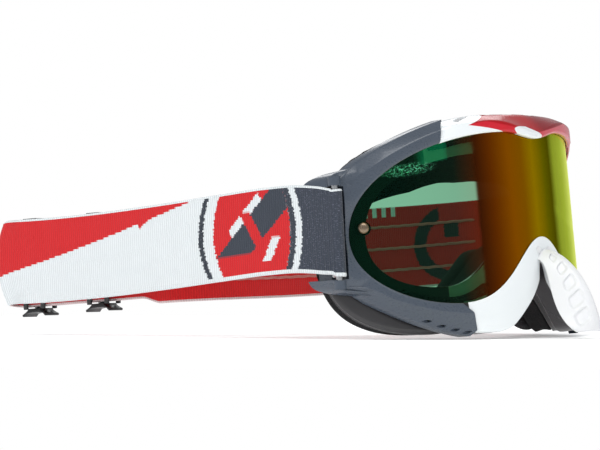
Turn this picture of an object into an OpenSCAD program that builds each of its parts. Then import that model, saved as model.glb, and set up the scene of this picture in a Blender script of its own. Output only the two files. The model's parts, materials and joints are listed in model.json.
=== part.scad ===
// Motocross goggles: a curved single lens in a moulded frame with dark side
// panels, a clip-on nose guard, a three-layer face cushion and a two-part
// elastic strap that hangs on two upright anchor bars.
//
// The goggle is drawn in its own upright frame (x across with the left side
// at -x, y towards the strap, z up, lens cylinder axis at x = y = 0, lens nose
// apex at z = 0). It then leans back on its lower cushion edge, so the
// finished part stands on z = 0.

/* [Lens] */
// Outer radius of the cylindrical lens
lens_r = 90; // [88:0.5:94]
// Lens thickness
lens_t = 1.2; // [0.8:0.1:1.4]
// Half the width of the visible lens, measured straight across
lens_half_w = 79.4; // [78:0.2:80]
// Height of the widest point above the nose apex
lens_side_z = 4; // [2:0.5:7]
// Top of the lens above the nose apex
lens_top_z = 46; // [44:0.5:47]
// Top of the lens at the centre dip
lens_dip_z = 43; // [41:0.5:45]
// Distance of each brow peak from the centre
lens_brow_x = 20; // [16:1:26]
// Lowest point of each lens lobe below the nose apex
lens_lobe_z = 27.3; // [25:0.5:29]
// Distance of each lobe's lowest point from the centre
lens_lobe_x = 46; // [43:1:48]

/* [Frame] */
// Half the width of the moulded frame behind the side panels
frame_half_w = 82.2; // [81.8:0.1:82.6]
// Top of the frame above the nose apex of the lens
frame_top_z = 54.4; // [53:0.2:56]
// Bottom of the frame lobes below the nose apex of the lens
frame_lobe_z = 40.7; // [39.5:0.1:41]
// Distance of each frame lobe's lowest point from the centre
frame_lobe_x = 37; // [35:1:40]
// Depth of the white bridge under the nose apex
bridge_h = 12; // [11:0.5:13]
// How far the lens edge sits under the front lip
groove_d = 1.3; // [1:0.1:1.5]
// Width of the inner flange that carries the face cushion
flange_w = 8; // [6:0.5:9]
// Back of the frame at the centre, behind the lens axis (negative is forward)
frame_back_c = -79; // [-80:0.5:-78]
// Back of the frame at the temples
frame_back_t = -30; // [-31:0.5:-29]
// Number of brow vents
vent_n = 6; // [4:1:6]

/* [Side panels] */
// Thickness of the side panel over the frame
panel_t = 1.6; // [1.4:0.1:1.8]
// Half the width across the side panels
panel_half_w = 87.2; // [87:0.1:87.6]

/* [Face cushion] */
// Back of the cushion at the nose bridge
cushion_back_c = -47; // [-50:1:-45]
// Back of the cushion at the temples
cushion_back_t = -21; // [-23:0.5:-20]
// Half the width of the cushion
cushion_half_w = 83.8; // [83:0.2:84]
// Radial width of the cushion ring
cushion_w = 13; // [11:0.5:14]

/* [Nose guard] */
// How far the guard tip stands in front of the lens
guard_reach = 25; // [20:1:27]
// How far the guard tip hangs below the nose apex of the lens
guard_drop = 44; // [40:1:45]
// Half the width of the guard at its root
guard_root_w = 8; // [7:0.5:10]
// Half the width of the guard at its tip
guard_tip_w = 11; // [9:0.5:12]
// Wall thickness of the guard
guard_t = 2; // [1.6:0.1:2.2]
// Diameter of the two guard pins
guard_pin_d = 3; // [2.8:0.1:3.2]

/* [Tear-off posts] */
// Angle of each post from the centre of the lens
post_angle = 57; // [48:1:57]
// Height of the posts above the nose apex of the lens
post_z = 8.2; // [5:0.2:12]
// Head diameter of a post
post_head_d = 4.6; // [4.2:0.1:5]
// Stem diameter of a post
post_stem_d = 2.4; // [2.2:0.1:2.6]

/* [Strap] */
// Width of the strap webbing
strap_w = 38; // [36:1:38]
// Thickness of the strap webbing
strap_t = 1.6; // [1.2:0.1:1.6]
// Length from the anchor bar to the rear fold
strap_run = 193; // [185:1:205]
// Diameter of the anchor bars
bar_d = 3; // [2.6:0.1:3]
// Clearance between the anchor bar and the webbing loop
bar_gap = 0.05; // [0.04:0.01:0.08]
// Upward slope of the strap relative to the frame
strap_slope = 2.5; // [0:0.5:4]
// How far the right half sags at its middle
strap_sag = 6; // [0:1:10]

/* [Adjusters] */
// Length of an adjuster along the strap
adj_len = 14; // [12:1:16]
// How far an adjuster stands past the lower edge of the strap
adj_over = 3; // [2:0.5:4]
// Distance from the rear fold to the rear adjuster
adj_rear = 20; // [17:1:22]
// Distance from the rear fold to the front adjuster
adj_front = 60; // [56:1:64]

/* [Placing] */
// Angle at which the goggle leans back when it stands on its cushion
lean = 6.5; // [6.5:0.5:6.5]
// Height of the lens nose apex line above the ground plane
stand_h = 34.06; // [34.06:0.01:34.06]
// Shift towards the strap that centres the part front to back
stand_y = -17.2; // [-17.2:0.01:-17.2]

/* [Hidden] */
seg = 10;                 // points per outline curve
$fn = 48;
gap = 0.15;               // assembly gap between neighbouring mouldings

// middle of the anchor bars
bar_x = 84.5;
bar_y = -41.2;
bar_z = 7;

// strap lanes, as distances from the centre
loop_r = bar_d / 2 + bar_gap + strap_t;   // outside of the webbing loop
fold_w = 7.4;
lane_outer = bar_x + loop_r - strap_t / 2;    // both halves, beside the goggle
lane_folded = lane_outer - fold_w;            // left half, after the rear fold
lane_right = lane_folded - 3.8;               // right half, beside the fold

// ---- outlines -------------------------------------------------------------
// An outline is a closed list of [x, z] points: nose, left lobe, left side,
// left brow, top centre, then the mirror image back to the nose.
function mix(a, b, share) = a + (b - a) * share;
function bezier(a, b, c, d, t) =
    a * pow(1 - t, 3) + 3 * b * t * pow(1 - t, 2)
    + 3 * c * t * t * (1 - t) + d * pow(t, 3);

// direction of travel at each of the five anchors
headings = [[-1, 0], [-1, 0], [0, 1], [1, 0], [1, 0]];
// anchors: [x, z] of nose, lobe, side, brow and top centre
// handles: lengths of the [start, end] handles of the four curves between
function outline(anchors, handles) = let (half = [for (k = [0:3])
        for (i = [0:seg - 1]) bezier(anchors[k],
            anchors[k] + headings[k] * handles[k][0],
            anchors[k + 1] - headings[k + 1] * handles[k][1],
            anchors[k + 1], i / seg)])
    concat(half, [anchors[4]],
        [for (i = [len(half) - 1:-1:1]) [-half[i][0], half[i][1]]]);

frame_brow_x = 22;
frame_side_z = 7;
frame_dip_z = frame_top_z + 0.3;
lens_o = outline(
    [[0, 0], [-lens_lobe_x, -lens_lobe_z], [-lens_half_w, lens_side_z],
        [-lens_brow_x, lens_top_z], [0, lens_dip_z]],
    [[14, 24], [20, 20], [30, 36], [7, 7]]);
frame_o = outline(
    [[0, -bridge_h], [-frame_lobe_x, -frame_lobe_z],
        [-frame_half_w, frame_side_z], [-frame_brow_x, frame_top_z],
        [0, frame_dip_z]],
    [[4, 15], [16, 30], [34, 30], [8, 8]]);
panel_o = outline(
    [[0, -bridge_h], [-frame_lobe_x, -frame_lobe_z - panel_t],
        [-panel_half_w, frame_side_z], [-frame_brow_x, frame_top_z + panel_t],
        [0, frame_dip_z + panel_t]],
    [[4, 15], [18, 29], [33, 30], [8, 8]]);
cushion_o = outline(
    [[0, -bridge_h - 1], [-47, -39.4], [-cushion_half_w, 4], [-25, 51],
        [0, 51.6]],
    [[4, 20], [28, 30], [32, 34], [8, 8]]);
corner_n = len(lens_o);

// outward direction at a point of an outline
function out_dir(o, i) = let (
        travel = o[(i + 1) % corner_n] - o[(i + corner_n - 1) % corner_n])
    [-travel[1], travel[0]] / norm(travel);
// a point of an outline moved outward (negative distance: inward)
function moved(o, i, distance) = o[i] + out_dir(o, i) * distance;

// ---- depths ---------------------------------------------------------------
// Each gives y at a distance x from the centre.
straight_x = 81;          // the front sheet carries on straight from here
wing_slope = 0.45;
// front sheet of radius r
function front(x, r) = let (a = abs(x),
        depth = sqrt(r * r - straight_x * straight_x))
    a < straight_x ? -sqrt(r * r - a * a)
    : -depth + (a - straight_x) * straight_x / depth;
// the panels stand out past the lens edge to reach over the anchor bars
function wing(x, r) = let (a = abs(x), start = lens_half_w - 0.6)
    a < start ? front(a, r) : front(start, r) + (a - start) * wing_slope;
// face curve between a centre depth and a temple depth
function face(x, centre, temple) =
    centre + (temple - centre) * pow(min(abs(x), 88) / 84, 2.2);
// back of the frame, kept behind the lens
function back(x) =
    max(face(x, frame_back_c, frame_back_t), front(x, lens_r) + 3);
// a share of the way from the frame to the back of the cushion
function cushion_y(x, share) =
    mix(back(x) + 1.5 * gap, face(x, cushion_back_c, cushion_back_t), share);

// outline point p placed at depth y, on the front sheet or on the frame back
function at_depth(p, y) = [p[0], y, p[1]];
function on_front(p, r, shift = 0) = at_depth(p, front(p[0], r) + shift);
function on_back(p, shift = 0) = at_depth(p, back(p[0]) + shift);

// ---- solids from sections -------------------------------------------------
// A section is a list of points; all sections of a solid have equal length.
function tube_faces(section_n, m, closed) =
    [for (i = [0:(closed ? section_n - 1 : section_n - 2)])
        for (j = [0:m - 1]) let (
            next_i = (i + 1) % section_n,
            next_j = (j + 1) % m,
            a = i * m + j,
            b = i * m + next_j,
            c = next_i * m + j,
            d = next_i * m + next_j)
        each [[a, b, c], [b, d, c]]];
// closed ring
module ring(sections) {
    polyhedron([for (s = sections) each s],
        tube_faces(len(sections), len(sections[0]), true), convexity = 8);
}
// open strip with its two ends capped
module strip(sections) {
    m = len(sections[0]);
    last = len(sections) - 1;
    polyhedron([for (s = sections) each s],
        concat(tube_faces(last + 1, m, false),
            [[for (j = [m - 1:-1:0]) j]],
            [[for (j = [0:m - 1]) last * m + j]]), convexity = 8);
}

// ---- placing --------------------------------------------------------------
// leans the upright goggle back and stands it on z = 0
module stand() {
    translate([0, stand_y, stand_h]) rotate([-lean, 0, 0]) children();
}
// origin at the middle height of the anchor bars, y along the strap
module at_bars() {
    translate([0, bar_y, bar_z]) rotate([strap_slope, 0, 0]) children();
}
module strap_frame() {
    stand() at_bars() children();
}

// ---- frame ----------------------------------------------------------------
lip_r = lens_r + 0.4;                 // front of the lip
seat_in_r = lens_r - lens_t - 0.6;    // groove behind and before the lens
seat_out_r = lens_r - 0.1;
shoulder_share = 0.62;    // shoulder, from the lens edge to the outer rim
shoulder_back = 0.9;      // how far shoulder and rim lie behind the lip sheet
rim_back = 3.4;
flange_t = 2.2;
vent_pitch = 15;
vent_size = [9, 2.8, 20];
vent_z = 38;

function frame_section(i) = let (
        edge = lens_o[i],
        rim = frame_o[i],
        shoulder = mix(edge, rim, shoulder_share),
        groove = moved(lens_o, i, groove_d + 0.25),
        wall = moved(lens_o, i, -0.6),
        flange = moved(lens_o, i, -flange_w)) [
    on_front(edge, lip_r),
    on_front(shoulder, lip_r, shoulder_back),
    on_front(rim, lip_r, rim_back),
    on_back(rim),
    on_back(flange),
    on_back(flange, -flange_t),
    at_depth(wall, max(back(wall[0]) - flange_t, front(wall[0], seat_in_r) + 0.3)),
    on_front(wall, seat_in_r),
    on_front(groove, seat_in_r),
    on_front(groove, seat_out_r),
    on_front(edge, seat_out_r)];

// pair of pins that start the given distance ahead of the lens and run back
module guard_pins(d, ahead, h)
    for (side = [-1, 1]) translate([side * 4, -lens_r - ahead, -6])
        rotate([-90, 0, 0]) cylinder(d = d, h = h);

module frame() color("white") stand() difference() {
    ring([for (i = [0:corner_n - 1]) frame_section(i)]);
    guard_pins(d = guard_pin_d + 0.1, ahead = 5, h = 11);
    // the row of vents bows back towards its ends
    for (i = [0:vent_n - 1]) {
        x = (i - (vent_n - 1) / 2) * vent_pitch;
        translate([x - vent_size[0] / 2, -84.6 + 0.0035 * pow(x, 2), vent_z])
            cube(vent_size);
    }
}

// ---- side panels ----------------------------------------------------------
panel_first = seg;            // first outline point covered, at the lower lobe
panel_last = 3 * seg - 3;     // last outline point covered, before the brow
panel_edge = 1.5;             // panel edge ahead of the frame back
ear_half_h = 28;
boss_h = 4;
recess_size = [40, 80, strap_w + 2];

// the panel's outline, squared off beside the strap so that its ears hold
// the ends of the anchor bar
function ear_point(p) = let (q = abs(p[1] - bar_z) / ear_half_h)
    [-max(abs(p[0]), q < 1 ? panel_half_w * pow(1 - pow(q, 10), 0.1) : 0), p[1]];
function on_wing(p, shift) = at_depth(p, wing(p[0], lip_r) + shift);
function panel_section(i) = let (
        edge = moved(lens_o, i, 0.1),
        rim = frame_o[i],
        inside = moved(frame_o, i, gap),
        ear = ear_point(panel_o[i])) [
    on_front(edge, lip_r, -gap),
    on_front(edge, lip_r, -panel_t * 0.7),
    on_wing(mix(lens_o[i], ear, shoulder_share), 0.6 - panel_t),
    on_wing(ear, 1.4),
    on_back(ear, -panel_edge),
    at_depth(inside, back(rim[0]) - panel_edge),
    at_depth(inside, front(rim[0], lip_r) + rim_back - gap),
    on_front(mix(lens_o[i], rim, shoulder_share), lip_r,
        shoulder_back - gap - 0.05)];

module side_panel() difference() {
    union() {
        strip([for (i = [panel_first:panel_last]) panel_section(i)]);
        // bosses round the bar ends
        at_bars() for (side = [-1, 1])
            translate([-bar_x, 0, side * (strap_w / 2 + 3.4)])
                cylinder(r = 2.9, h = boss_h, center = true);
    }
    at_bars() {
        // window in which the strap end turns round the bar
        translate([-bar_x, 0, 0])
            cylinder(r = 4.1, h = strap_w + 2, center = true);
        // recess in which it runs back
        translate([-lane_outer - recess_size[0] + strap_t + 1, -3,
                -recess_size[2] / 2])
            cube(recess_size);
        // hole for the bar
        translate([-bar_x, 0, 0])
            cylinder(d = bar_d + 0.1, h = strap_w + 8, center = true);
    }
}
module side_panel_left() color("dimgray") stand() side_panel();
module side_panel_right() color("dimgray") stand() mirror([1, 0, 0]) side_panel();

// ---- lens -----------------------------------------------------------------
lens_front_r = lens_r - 0.45;     // lens surface as it sits in the groove
lens_blank_h = 130;

// corner of the lens, part of the way from one outline point to the next
function lens_corner(i) = mix(moved(lens_o, i, groove_d - gap),
    moved(lens_o, (i + 1) % corner_n, groove_d - gap), 0.37);

module lens() color("darkorange", 0.7) stand() difference() {
    intersection() {
        translate([0, 0, -60]) difference() {
            cylinder(r = lens_front_r, h = lens_blank_h, $fn = 180);
            translate([0, 0, -1])
                cylinder(r = lens_front_r - lens_t, h = lens_blank_h + 2, $fn = 180);
        }
        rotate([90, 0, 0]) linear_extrude(100)
            polygon([for (i = [0:corner_n - 1]) lens_corner(i)]);
    }
    for (side = [-1, 1]) post_axis(side) translate([0, 0, lens_r - 5])
        cylinder(d = post_stem_d + 0.1, h = 10);
}

// ---- tear-off posts and their washers -------------------------------------
// +z along the outward normal of the lens at a post
module post_axis(side) {
    translate([0, 0, post_z]) rotate([0, 0, side * post_angle])
        rotate([90, 0, 0]) children();
}
// foot, neck, head, and the stem through the lens
module post(side) color("gray") stand() post_axis(side) {
    translate([0, 0, lens_r - 0.2]) cylinder(d = post_head_d, h = 0.5);
    translate([0, 0, lens_r + 0.1]) cylinder(d = post_head_d - 1.6, h = 0.9);
    translate([0, 0, lens_r + 1]) cylinder(d = post_head_d, h = 1.2);
    translate([0, 0, lens_r - 3.9]) cylinder(d = post_stem_d, h = 4);
}
module tear_off_post_left() post(-1);
module tear_off_post_right() post(1);
// washer on the stem, behind the lens
module washer(side) color("black") stand() post_axis(side)
    translate([0, 0, lens_r - 2.9]) difference() {
        cylinder(d = 6, h = 1.1);
        translate([0, 0, -1]) cylinder(d = post_stem_d + 0.06, h = 4);
    }
module post_washer_left() washer(-1);
module post_washer_right() washer(1);

// ---- nose guard -----------------------------------------------------------
// A roof-shaped shell: t runs from 0 at the bridge to 1 at the tip. Ridge and
// side edge are [y, z] curves.
root_y = -lens_r - 1.4;
root_z = -2.5;
tip_y = -lens_r - guard_reach;
guard_steps = 12;

function guard_ridge(t) = bezier([root_y - 1.5, root_z],
    [root_y - 12, root_z - 6], [tip_y, -guard_drop + 16],
    [tip_y, -guard_drop], t);
function guard_edge(t) = bezier([root_y, root_z - 3],
    [root_y - 4, root_z - 14], [root_y - 10, -guard_drop + 14],
    [tip_y + 6, -guard_drop], t);
function guard_half_w(t) = mix(guard_root_w, guard_tip_w, t)
    - 1.2 * sin(180 * t) * (1 - t);
function guard_section(t) = let (
        ridge = guard_ridge(t),
        edge = guard_edge(t),
        w = guard_half_w(t),
        bend = mix(ridge, edge, 0.28),
        // left half, from the outer ridge round the edge to the inner ridge
        half = [
            [0, ridge[0], ridge[1]],
            [-w * 0.5, bend[0], bend[1]],
            [-w, edge[0], edge[1]],
            [-w + guard_t, edge[0] + 0.3, edge[1]],
            [-w * 0.5 + guard_t * 0.4, bend[0] + guard_t, bend[1]],
            [0, ridge[0] + guard_t, ridge[1]]])
    concat(half, [for (j = [4:-1:1]) [-half[j][0], half[j][1], half[j][2]]]);

module nose_guard() color("whitesmoke") stand() {
    strip([for (i = [guard_steps:-1:0]) guard_section(i / guard_steps)]);
    guard_pins(d = guard_pin_d, ahead = 3.2, h = 9);
}

// ---- face cushion ---------------------------------------------------------
// One layer between two shares of the cushion depth; outer and inner are the
// distances of its sides from the cushion outline.
function cushion_section(i, from, to, outer, inner) = let (
        a = moved(cushion_o, i, outer),
        b = moved(cushion_o, i, inner)) [
    at_depth(a, cushion_y(a[0], from) + 1.6 * gap),
    at_depth(a, cushion_y(a[0], to)),
    at_depth(b, cushion_y(b[0], to)),
    at_depth(b, cushion_y(b[0], from) + 1.6 * gap)];
module cushion_layer(from, to, outer, inner = -cushion_w)
    ring([for (i = [0:corner_n - 1]) cushion_section(i, from, to, outer, inner)]);

module face_flange() color("#444444") stand()
    cushion_layer(from = 0, to = 0.21, outer = 0, inner = -cushion_w + 1);
module foam_mid() color("#1c1c1c") stand()
    cushion_layer(from = 0.215, to = 0.58, outer = -0.6);
// its two lower lobes are flat where they rest on the ground plane
module foam_face() color("black") difference() {
    stand() cushion_layer(from = 0.585, to = 1, outer = -0.2);
    translate([-100, -100, -10]) cube([200, 200, 10]);
}

// ---- vent foam ------------------------------------------------------------
// strips inside the frame wall, over a run of outline points
function vent_foam_section(i) = let (
        a = moved(lens_o, i, -0.9),
        b = moved(lens_o, i, -2.9)) [
    on_front(a, seat_in_r, 0.4),
    on_back(a, -2.5),
    on_back(b, -2.5),
    on_front(b, seat_in_r, 0.4)];
module vent_foam(first, last)
    strip([for (i = [first:last]) vent_foam_section(i)]);
module vent_foam_lobe() vent_foam(seg - 3, seg + 4);

module vent_foam_brow() color("#222222") stand()
    vent_foam(4 * seg - 13, 4 * seg + 13);
module vent_foam_left() color("#222222") stand() vent_foam_lobe();
module vent_foam_right() color("#222222") stand() mirror([1, 0, 0])
    vent_foam_lobe();

// ---- anchor bars ----------------------------------------------------------
module anchor_bar(side) color("silver") strap_frame()
    translate([side * bar_x, 0, 0])
        cylinder(d = bar_d, h = strap_w + 7.6, center = true);
module anchor_bar_left() anchor_bar(-1);
module anchor_bar_right() anchor_bar(1);

// ---- strap ----------------------------------------------------------------
// A band is a flat strip that follows a path of [x, y, z] points. Its faces
// lie at near and far to the left of the path as seen from above.
function path_normal(path, i) = let (
        travel = path[min(i + 1, len(path) - 1)] - path[max(i - 1, 0)],
        flat = [travel[0], travel[1]])
    [-flat[1], flat[0], 0] / norm(flat);
function band_section(path, i, near, far, low, high) = let (
        normal = path_normal(path, i),
        a = path[i] + normal * near,
        b = path[i] + normal * far)
    [a + [0, 0, low], a + [0, 0, high], b + [0, 0, high], b + [0, 0, low]];
module band(path, near, far, low, high)
    strip([for (i = [0:len(path) - 1])
        band_section(path, i, near, far, low, high)]);

lane_z = -2.2;            // the folded lane hangs a little lower
path_start_y = 1;
fold_r = fold_w / 2;
fold_y = strap_run - fold_r - strap_t / 2;
// left half: straight back, round the fold and forward to the front adjuster
path_left = concat(
    [for (i = [0:8]) [-lane_outer, mix(path_start_y, fold_y, i / 8), 0]],
    [for (a = [15:15:165]) [-lane_outer + fold_r - fold_r * cos(a),
        fold_y + fold_r * sin(a), lane_z * a / 180]],
    [for (i = [0:6])
        [-lane_folded, mix(fold_y, strap_run - adj_front, i / 6), lane_z]]);
// right half: back along the panel, across behind the goggle, beside the
// folded left half
right_end_y = strap_run - 10;
join_y = strap_run - adj_front - adj_len / 2 - 22;
path_right = concat(
    [[lane_outer, path_start_y, 0], [lane_outer, 12, 0]],
    [for (i = [0:24]) let (t = i / 24) concat(
        bezier([lane_outer, 24], [lane_outer, 74],
            [-lane_right, join_y - 48], [-lane_right, join_y], t),
        [-strap_sag * sin(180 * t) + lane_z * t * t])],
    [for (i = [1:8]) [-lane_right, mix(join_y, right_end_y, i / 8), lane_z]]);

// webbing loop round an anchor bar
module bar_loop(side) translate([side * bar_x, 0, 0]) difference() {
    cylinder(r = loop_r, h = strap_w, center = true);
    cylinder(d = bar_d + 2 * bar_gap, h = strap_w + 2, center = true);
}
module strap_half(side, path) {
    bar_loop(side);
    band(path, -strap_t / 2, strap_t / 2, -strap_w / 2, strap_w / 2);
}
module strap_left() color("white") strap_frame() strap_half(-1, path_left);
module strap_right() color("crimson") strap_frame() strap_half(1, path_right);

// three thin lines along the inner face of the webbing
grip_near = strap_t / 2 + 0.05;
grip_far = strap_t / 2 + 0.4;
module grips(path, near, far)
    for (z = [-10, 0, 10]) band(path, near, far, z - 0.6, z + 0.6);
module strap_grip_left() color("lightgray") strap_frame()
    grips([for (i = [2:7]) path_left[i]], -grip_far, -grip_near);
module strap_grip_right() color("lightgray") strap_frame()
    grips([for (i = [6:24]) path_right[i]], grip_near, grip_far);

// ---- adjusters ------------------------------------------------------------
// a three-bar slider: two rails beside the webbing edges, joined by a middle
// upright and by a pair of uprights on the outer and on the inner side
rail_gap = 0.8;           // from the webbing edge to a rail
upright_x = 1.2;
upright_y = 2.4;
middle_y = 3.2;

module adjuster(y) color("#151515") strap_frame()
    translate([0, y, lane_z]) {
        x0 = -lane_folded - strap_t / 2 - 1.7;
        x1 = -lane_right + strap_t / 2 + 2.2;
        half_h = strap_w / 2 + 0.9;
        translate([x0, -adj_len / 2, -strap_w / 2 - adj_over])
            cube([x1 - x0, adj_len, adj_over - rail_gap]);
        translate([x0, -adj_len / 2, strap_w / 2 + rail_gap])
            cube([x1 - x0, adj_len, 1.1]);
        for (x = [x0, x1 - upright_x], y = [-adj_len / 2, adj_len / 2 - upright_y])
            translate([x, y, -half_h]) cube([upright_x, upright_y, 2 * half_h]);
        translate([-(lane_folded + lane_right) / 2 - 0.75, -middle_y / 2, -half_h])
            cube([1, middle_y, 2 * half_h]);
    }
module adjuster_rear() adjuster(strap_run - adj_rear);
module adjuster_front() adjuster(strap_run - adj_front + 3);

frame();
side_panel_left();
side_panel_right();
lens();
tear_off_post_left();
tear_off_post_right();
post_washer_left();
post_washer_right();
nose_guard();
face_flange();
foam_mid();
foam_face();
vent_foam_brow();
vent_foam_left();
vent_foam_right();
anchor_bar_left();
anchor_bar_right();
strap_left();
strap_right();
strap_grip_left();
strap_grip_right();
adjuster_rear();
adjuster_front();
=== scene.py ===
import json
import math

import bmesh
import bpy
import numpy as np
from mathutils import Matrix, Vector


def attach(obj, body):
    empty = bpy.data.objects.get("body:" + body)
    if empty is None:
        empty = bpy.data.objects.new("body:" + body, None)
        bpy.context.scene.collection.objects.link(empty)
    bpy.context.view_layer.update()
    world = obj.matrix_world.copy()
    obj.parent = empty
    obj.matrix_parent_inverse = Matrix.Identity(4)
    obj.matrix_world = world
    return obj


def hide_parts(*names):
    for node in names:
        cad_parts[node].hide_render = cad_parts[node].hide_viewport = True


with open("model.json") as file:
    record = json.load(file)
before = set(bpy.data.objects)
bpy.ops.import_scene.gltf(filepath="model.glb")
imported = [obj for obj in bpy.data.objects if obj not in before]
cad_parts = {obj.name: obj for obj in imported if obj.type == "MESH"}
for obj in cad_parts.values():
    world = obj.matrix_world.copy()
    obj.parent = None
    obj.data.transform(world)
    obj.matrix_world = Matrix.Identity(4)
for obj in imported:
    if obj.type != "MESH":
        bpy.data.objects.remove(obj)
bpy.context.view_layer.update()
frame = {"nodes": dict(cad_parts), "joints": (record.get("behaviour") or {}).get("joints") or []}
SCENE = bpy.context.scene

# ---------------------------------------------------------------- frames
BAR_X, BAR_Y, BAR_Z = 84.5, -41.2, 7.0  # strap anchor bars, goggle frame, at +x and -x

JOINTS = {joint["name"]: joint for joint in frame["joints"]}
GUARD_AXIS = JOINTS["guard_release"]["axis"]
SWING = JOINTS["strap_swing_left"]
LEAN = math.atan2(GUARD_AXIS[2], -GUARD_AXIS[1])
STRAP_SLOPE = LEAN - math.atan2(SWING["axis"][1], SWING["axis"][2])
LEAN_COS, LEAN_SIN = math.cos(LEAN), math.sin(LEAN)
SHIFT_Y = SWING["pos_m"][1] * 1000 - (BAR_Y * LEAN_COS + BAR_Z * LEAN_SIN)
SHIFT_Z = SWING["pos_m"][2] * 1000 - (-BAR_Y * LEAN_SIN + BAR_Z * LEAN_COS)


def split(points):
    return np.moveaxis(np.asarray(points, float), -1, 0)


def tilt(points, angle):
    """Turn points or directions about x."""
    x, y, z = split(points)
    cos, sin = math.cos(angle), math.sin(angle)
    return np.stack([x, y * cos + z * sin, -y * sin + z * cos], -1)


def to_row(points):
    """Goggle frame (mm) to row (m)."""
    return (tilt(points, LEAN) + (0, SHIFT_Y, SHIFT_Z)) / 1000


def strap_to_row(points):
    """Strap frame (mm) to row (m)."""
    return to_row(tilt(points, -STRAP_SLOPE) + (0, BAR_Y, BAR_Z))


# ---------------------------------------------------------------- curves
def lerp(a, b, part):
    return a + (b - a) * part


def lerp_points(a, b, part):
    """Blend point arrays; part is one number or one per point."""
    part = np.asarray(part)
    return a + (b - a) * (part[..., None] if part.ndim else part)


def ease(x, start, end):
    """Smooth step from 0 at start to 1 at end."""
    t = np.clip((np.asarray(x, float) - start) / (end - start), 0, 1)
    return t * t * (3 - 2 * t)


def bezier(a, b, c, d, t):
    a, b, c, d = (np.asarray(v, float) for v in (a, b, c, d))
    t = np.asarray(t, float)[..., None]
    return a * (1 - t) ** 3 + 3 * b * t * (1 - t) ** 2 + 3 * c * t * t * (1 - t) + d * t ** 3


def bezier_slope(a, b, c, d, t):
    a, b, c, d = (np.asarray(v, float) for v in (a, b, c, d))
    t = np.asarray(t, float)[..., None]
    return 3 * ((b - a) * (1 - t) ** 2 + 2 * (c - b) * t * (1 - t) + (d - c) * t * t)


class Outline:
    """Closed outline in (x, z), mirrored about x = 0.

    u runs 0..4 over nose, lobe, side, brow and top on -x, then 4..8 back down on +x.
    Corner points are given as (|x|, z); handles are the eight lengths met along the way.
    """

    def __init__(self, nose_z, lobe, side, brow, top_z, handles):
        h = handles
        (lobe_x, lobe_z), (side_x, side_z), (brow_x, brow_z) = lobe, side, brow
        self.segments = [
            ([0, nose_z], [-h[0], nose_z], [-lobe_x + h[1], lobe_z], [-lobe_x, lobe_z]),
            ([-lobe_x, lobe_z], [-lobe_x - h[2], lobe_z], [-side_x, side_z - h[3]],
             [-side_x, side_z]),
            ([-side_x, side_z], [-side_x, side_z + h[4]], [-brow_x - h[5], brow_z],
             [-brow_x, brow_z]),
            ([-brow_x, brow_z], [-brow_x + h[6], brow_z], [-h[7], top_z], [0, top_z]),
        ]

    def off(self, u, distance=0.0):
        """Points at u, moved outward by distance (one number or one per point)."""
        u = np.mod(np.asarray(u, float), 8.0)
        mirrored = u > 4
        folded = np.where(mirrored, 8 - u, u)
        index = np.clip(folded.astype(int), 0, 3)
        t = folded - index
        points = np.zeros(u.shape + (2,))
        slope = np.zeros(u.shape + (2,))
        for i, segment in enumerate(self.segments):
            here = index == i
            if here.any():
                points[here] = bezier(*segment, t[here])
                slope[here] = bezier_slope(*segment, np.clip(t[here], 1e-3, 1 - 1e-3))
        points[mirrored, 0] *= -1
        slope[mirrored, 1] *= -1
        length = np.linalg.norm(slope, axis=-1, keepdims=True)
        normals = np.stack([-slope[..., 1], slope[..., 0]], -1) / length
        return points + normals * (np.asarray(distance)[..., None] if np.ndim(distance) else distance)


LENS = Outline(0, (46, -27.3), (79.4, 4), (20, 46), 43, [14, 24, 20, 20, 30, 36, 7, 7])
FRAME = Outline(-12, (37, -40.7), (82.2, 7), (22, 54.4), 54.7, [4, 15, 16, 30, 34, 30, 8, 8])
PANEL = Outline(-12, (37, -42.3), (87.2, 7), (22, 56), 56.3, [4, 15, 18, 29, 33, 30, 8, 8])
CUSHION = Outline(-13, (47, -39.4), (83.8, 4), (25, 51), 51.6, [4, 20, 28, 30, 32, 34, 8, 8])


def stations(per_segment):
    """Even values of u round an outline."""
    count = 8 * per_segment
    return np.arange(count) / count * 8


# ---------------------------------------------------------------- depth surfaces, y over x
LIP_RADIUS = 90.4  # front lip of the frame round the lens
STRAIGHT_X = 81.0  # the cylinder runs on along its tangent beyond this
WING_X, WING_SLOPE = 78.8, 0.45  # side panels sweep back beyond this
BACK_RADIUS = 90


def shield_y(x, radius=LIP_RADIUS):
    across = np.abs(x)
    edge = math.sqrt(radius * radius - STRAIGHT_X * STRAIGHT_X)
    return np.where(across < STRAIGHT_X,
                    -np.sqrt(np.maximum(radius * radius - across * across, 1)),
                    -edge + (across - STRAIGHT_X) * (STRAIGHT_X / edge))


def wing_y(x):
    across = np.abs(x)
    swept = shield_y(WING_X) + (across - WING_X) * WING_SLOPE
    return np.where(across < WING_X, shield_y(across), swept)


def face_y(x, centre, side):
    return centre + (side - centre) * (np.minimum(np.abs(x), 88) / 84) ** 2.2


def back_y(x):
    return np.maximum(face_y(x, -79, -30), shield_y(x, BACK_RADIUS) + 3)


def layer_y(x, part):
    """Cushion depth: part 0 is just behind the frame, 1 the rearmost surface."""
    start = back_y(x) + 0.225
    return start + (face_y(x, -47, -21) - start) * part


def at_depth(points, y):
    """(x, z) points to 3D at the given y."""
    return np.stack([points[..., 0], np.broadcast_to(y, points[..., 0].shape), points[..., 1]], -1)


def lay(points, surface, *setting, off=0.0):
    """(x, z) points laid on a depth surface, moved back by off."""
    return at_depth(points, surface(points[:, 0], *setting) + off)


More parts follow.
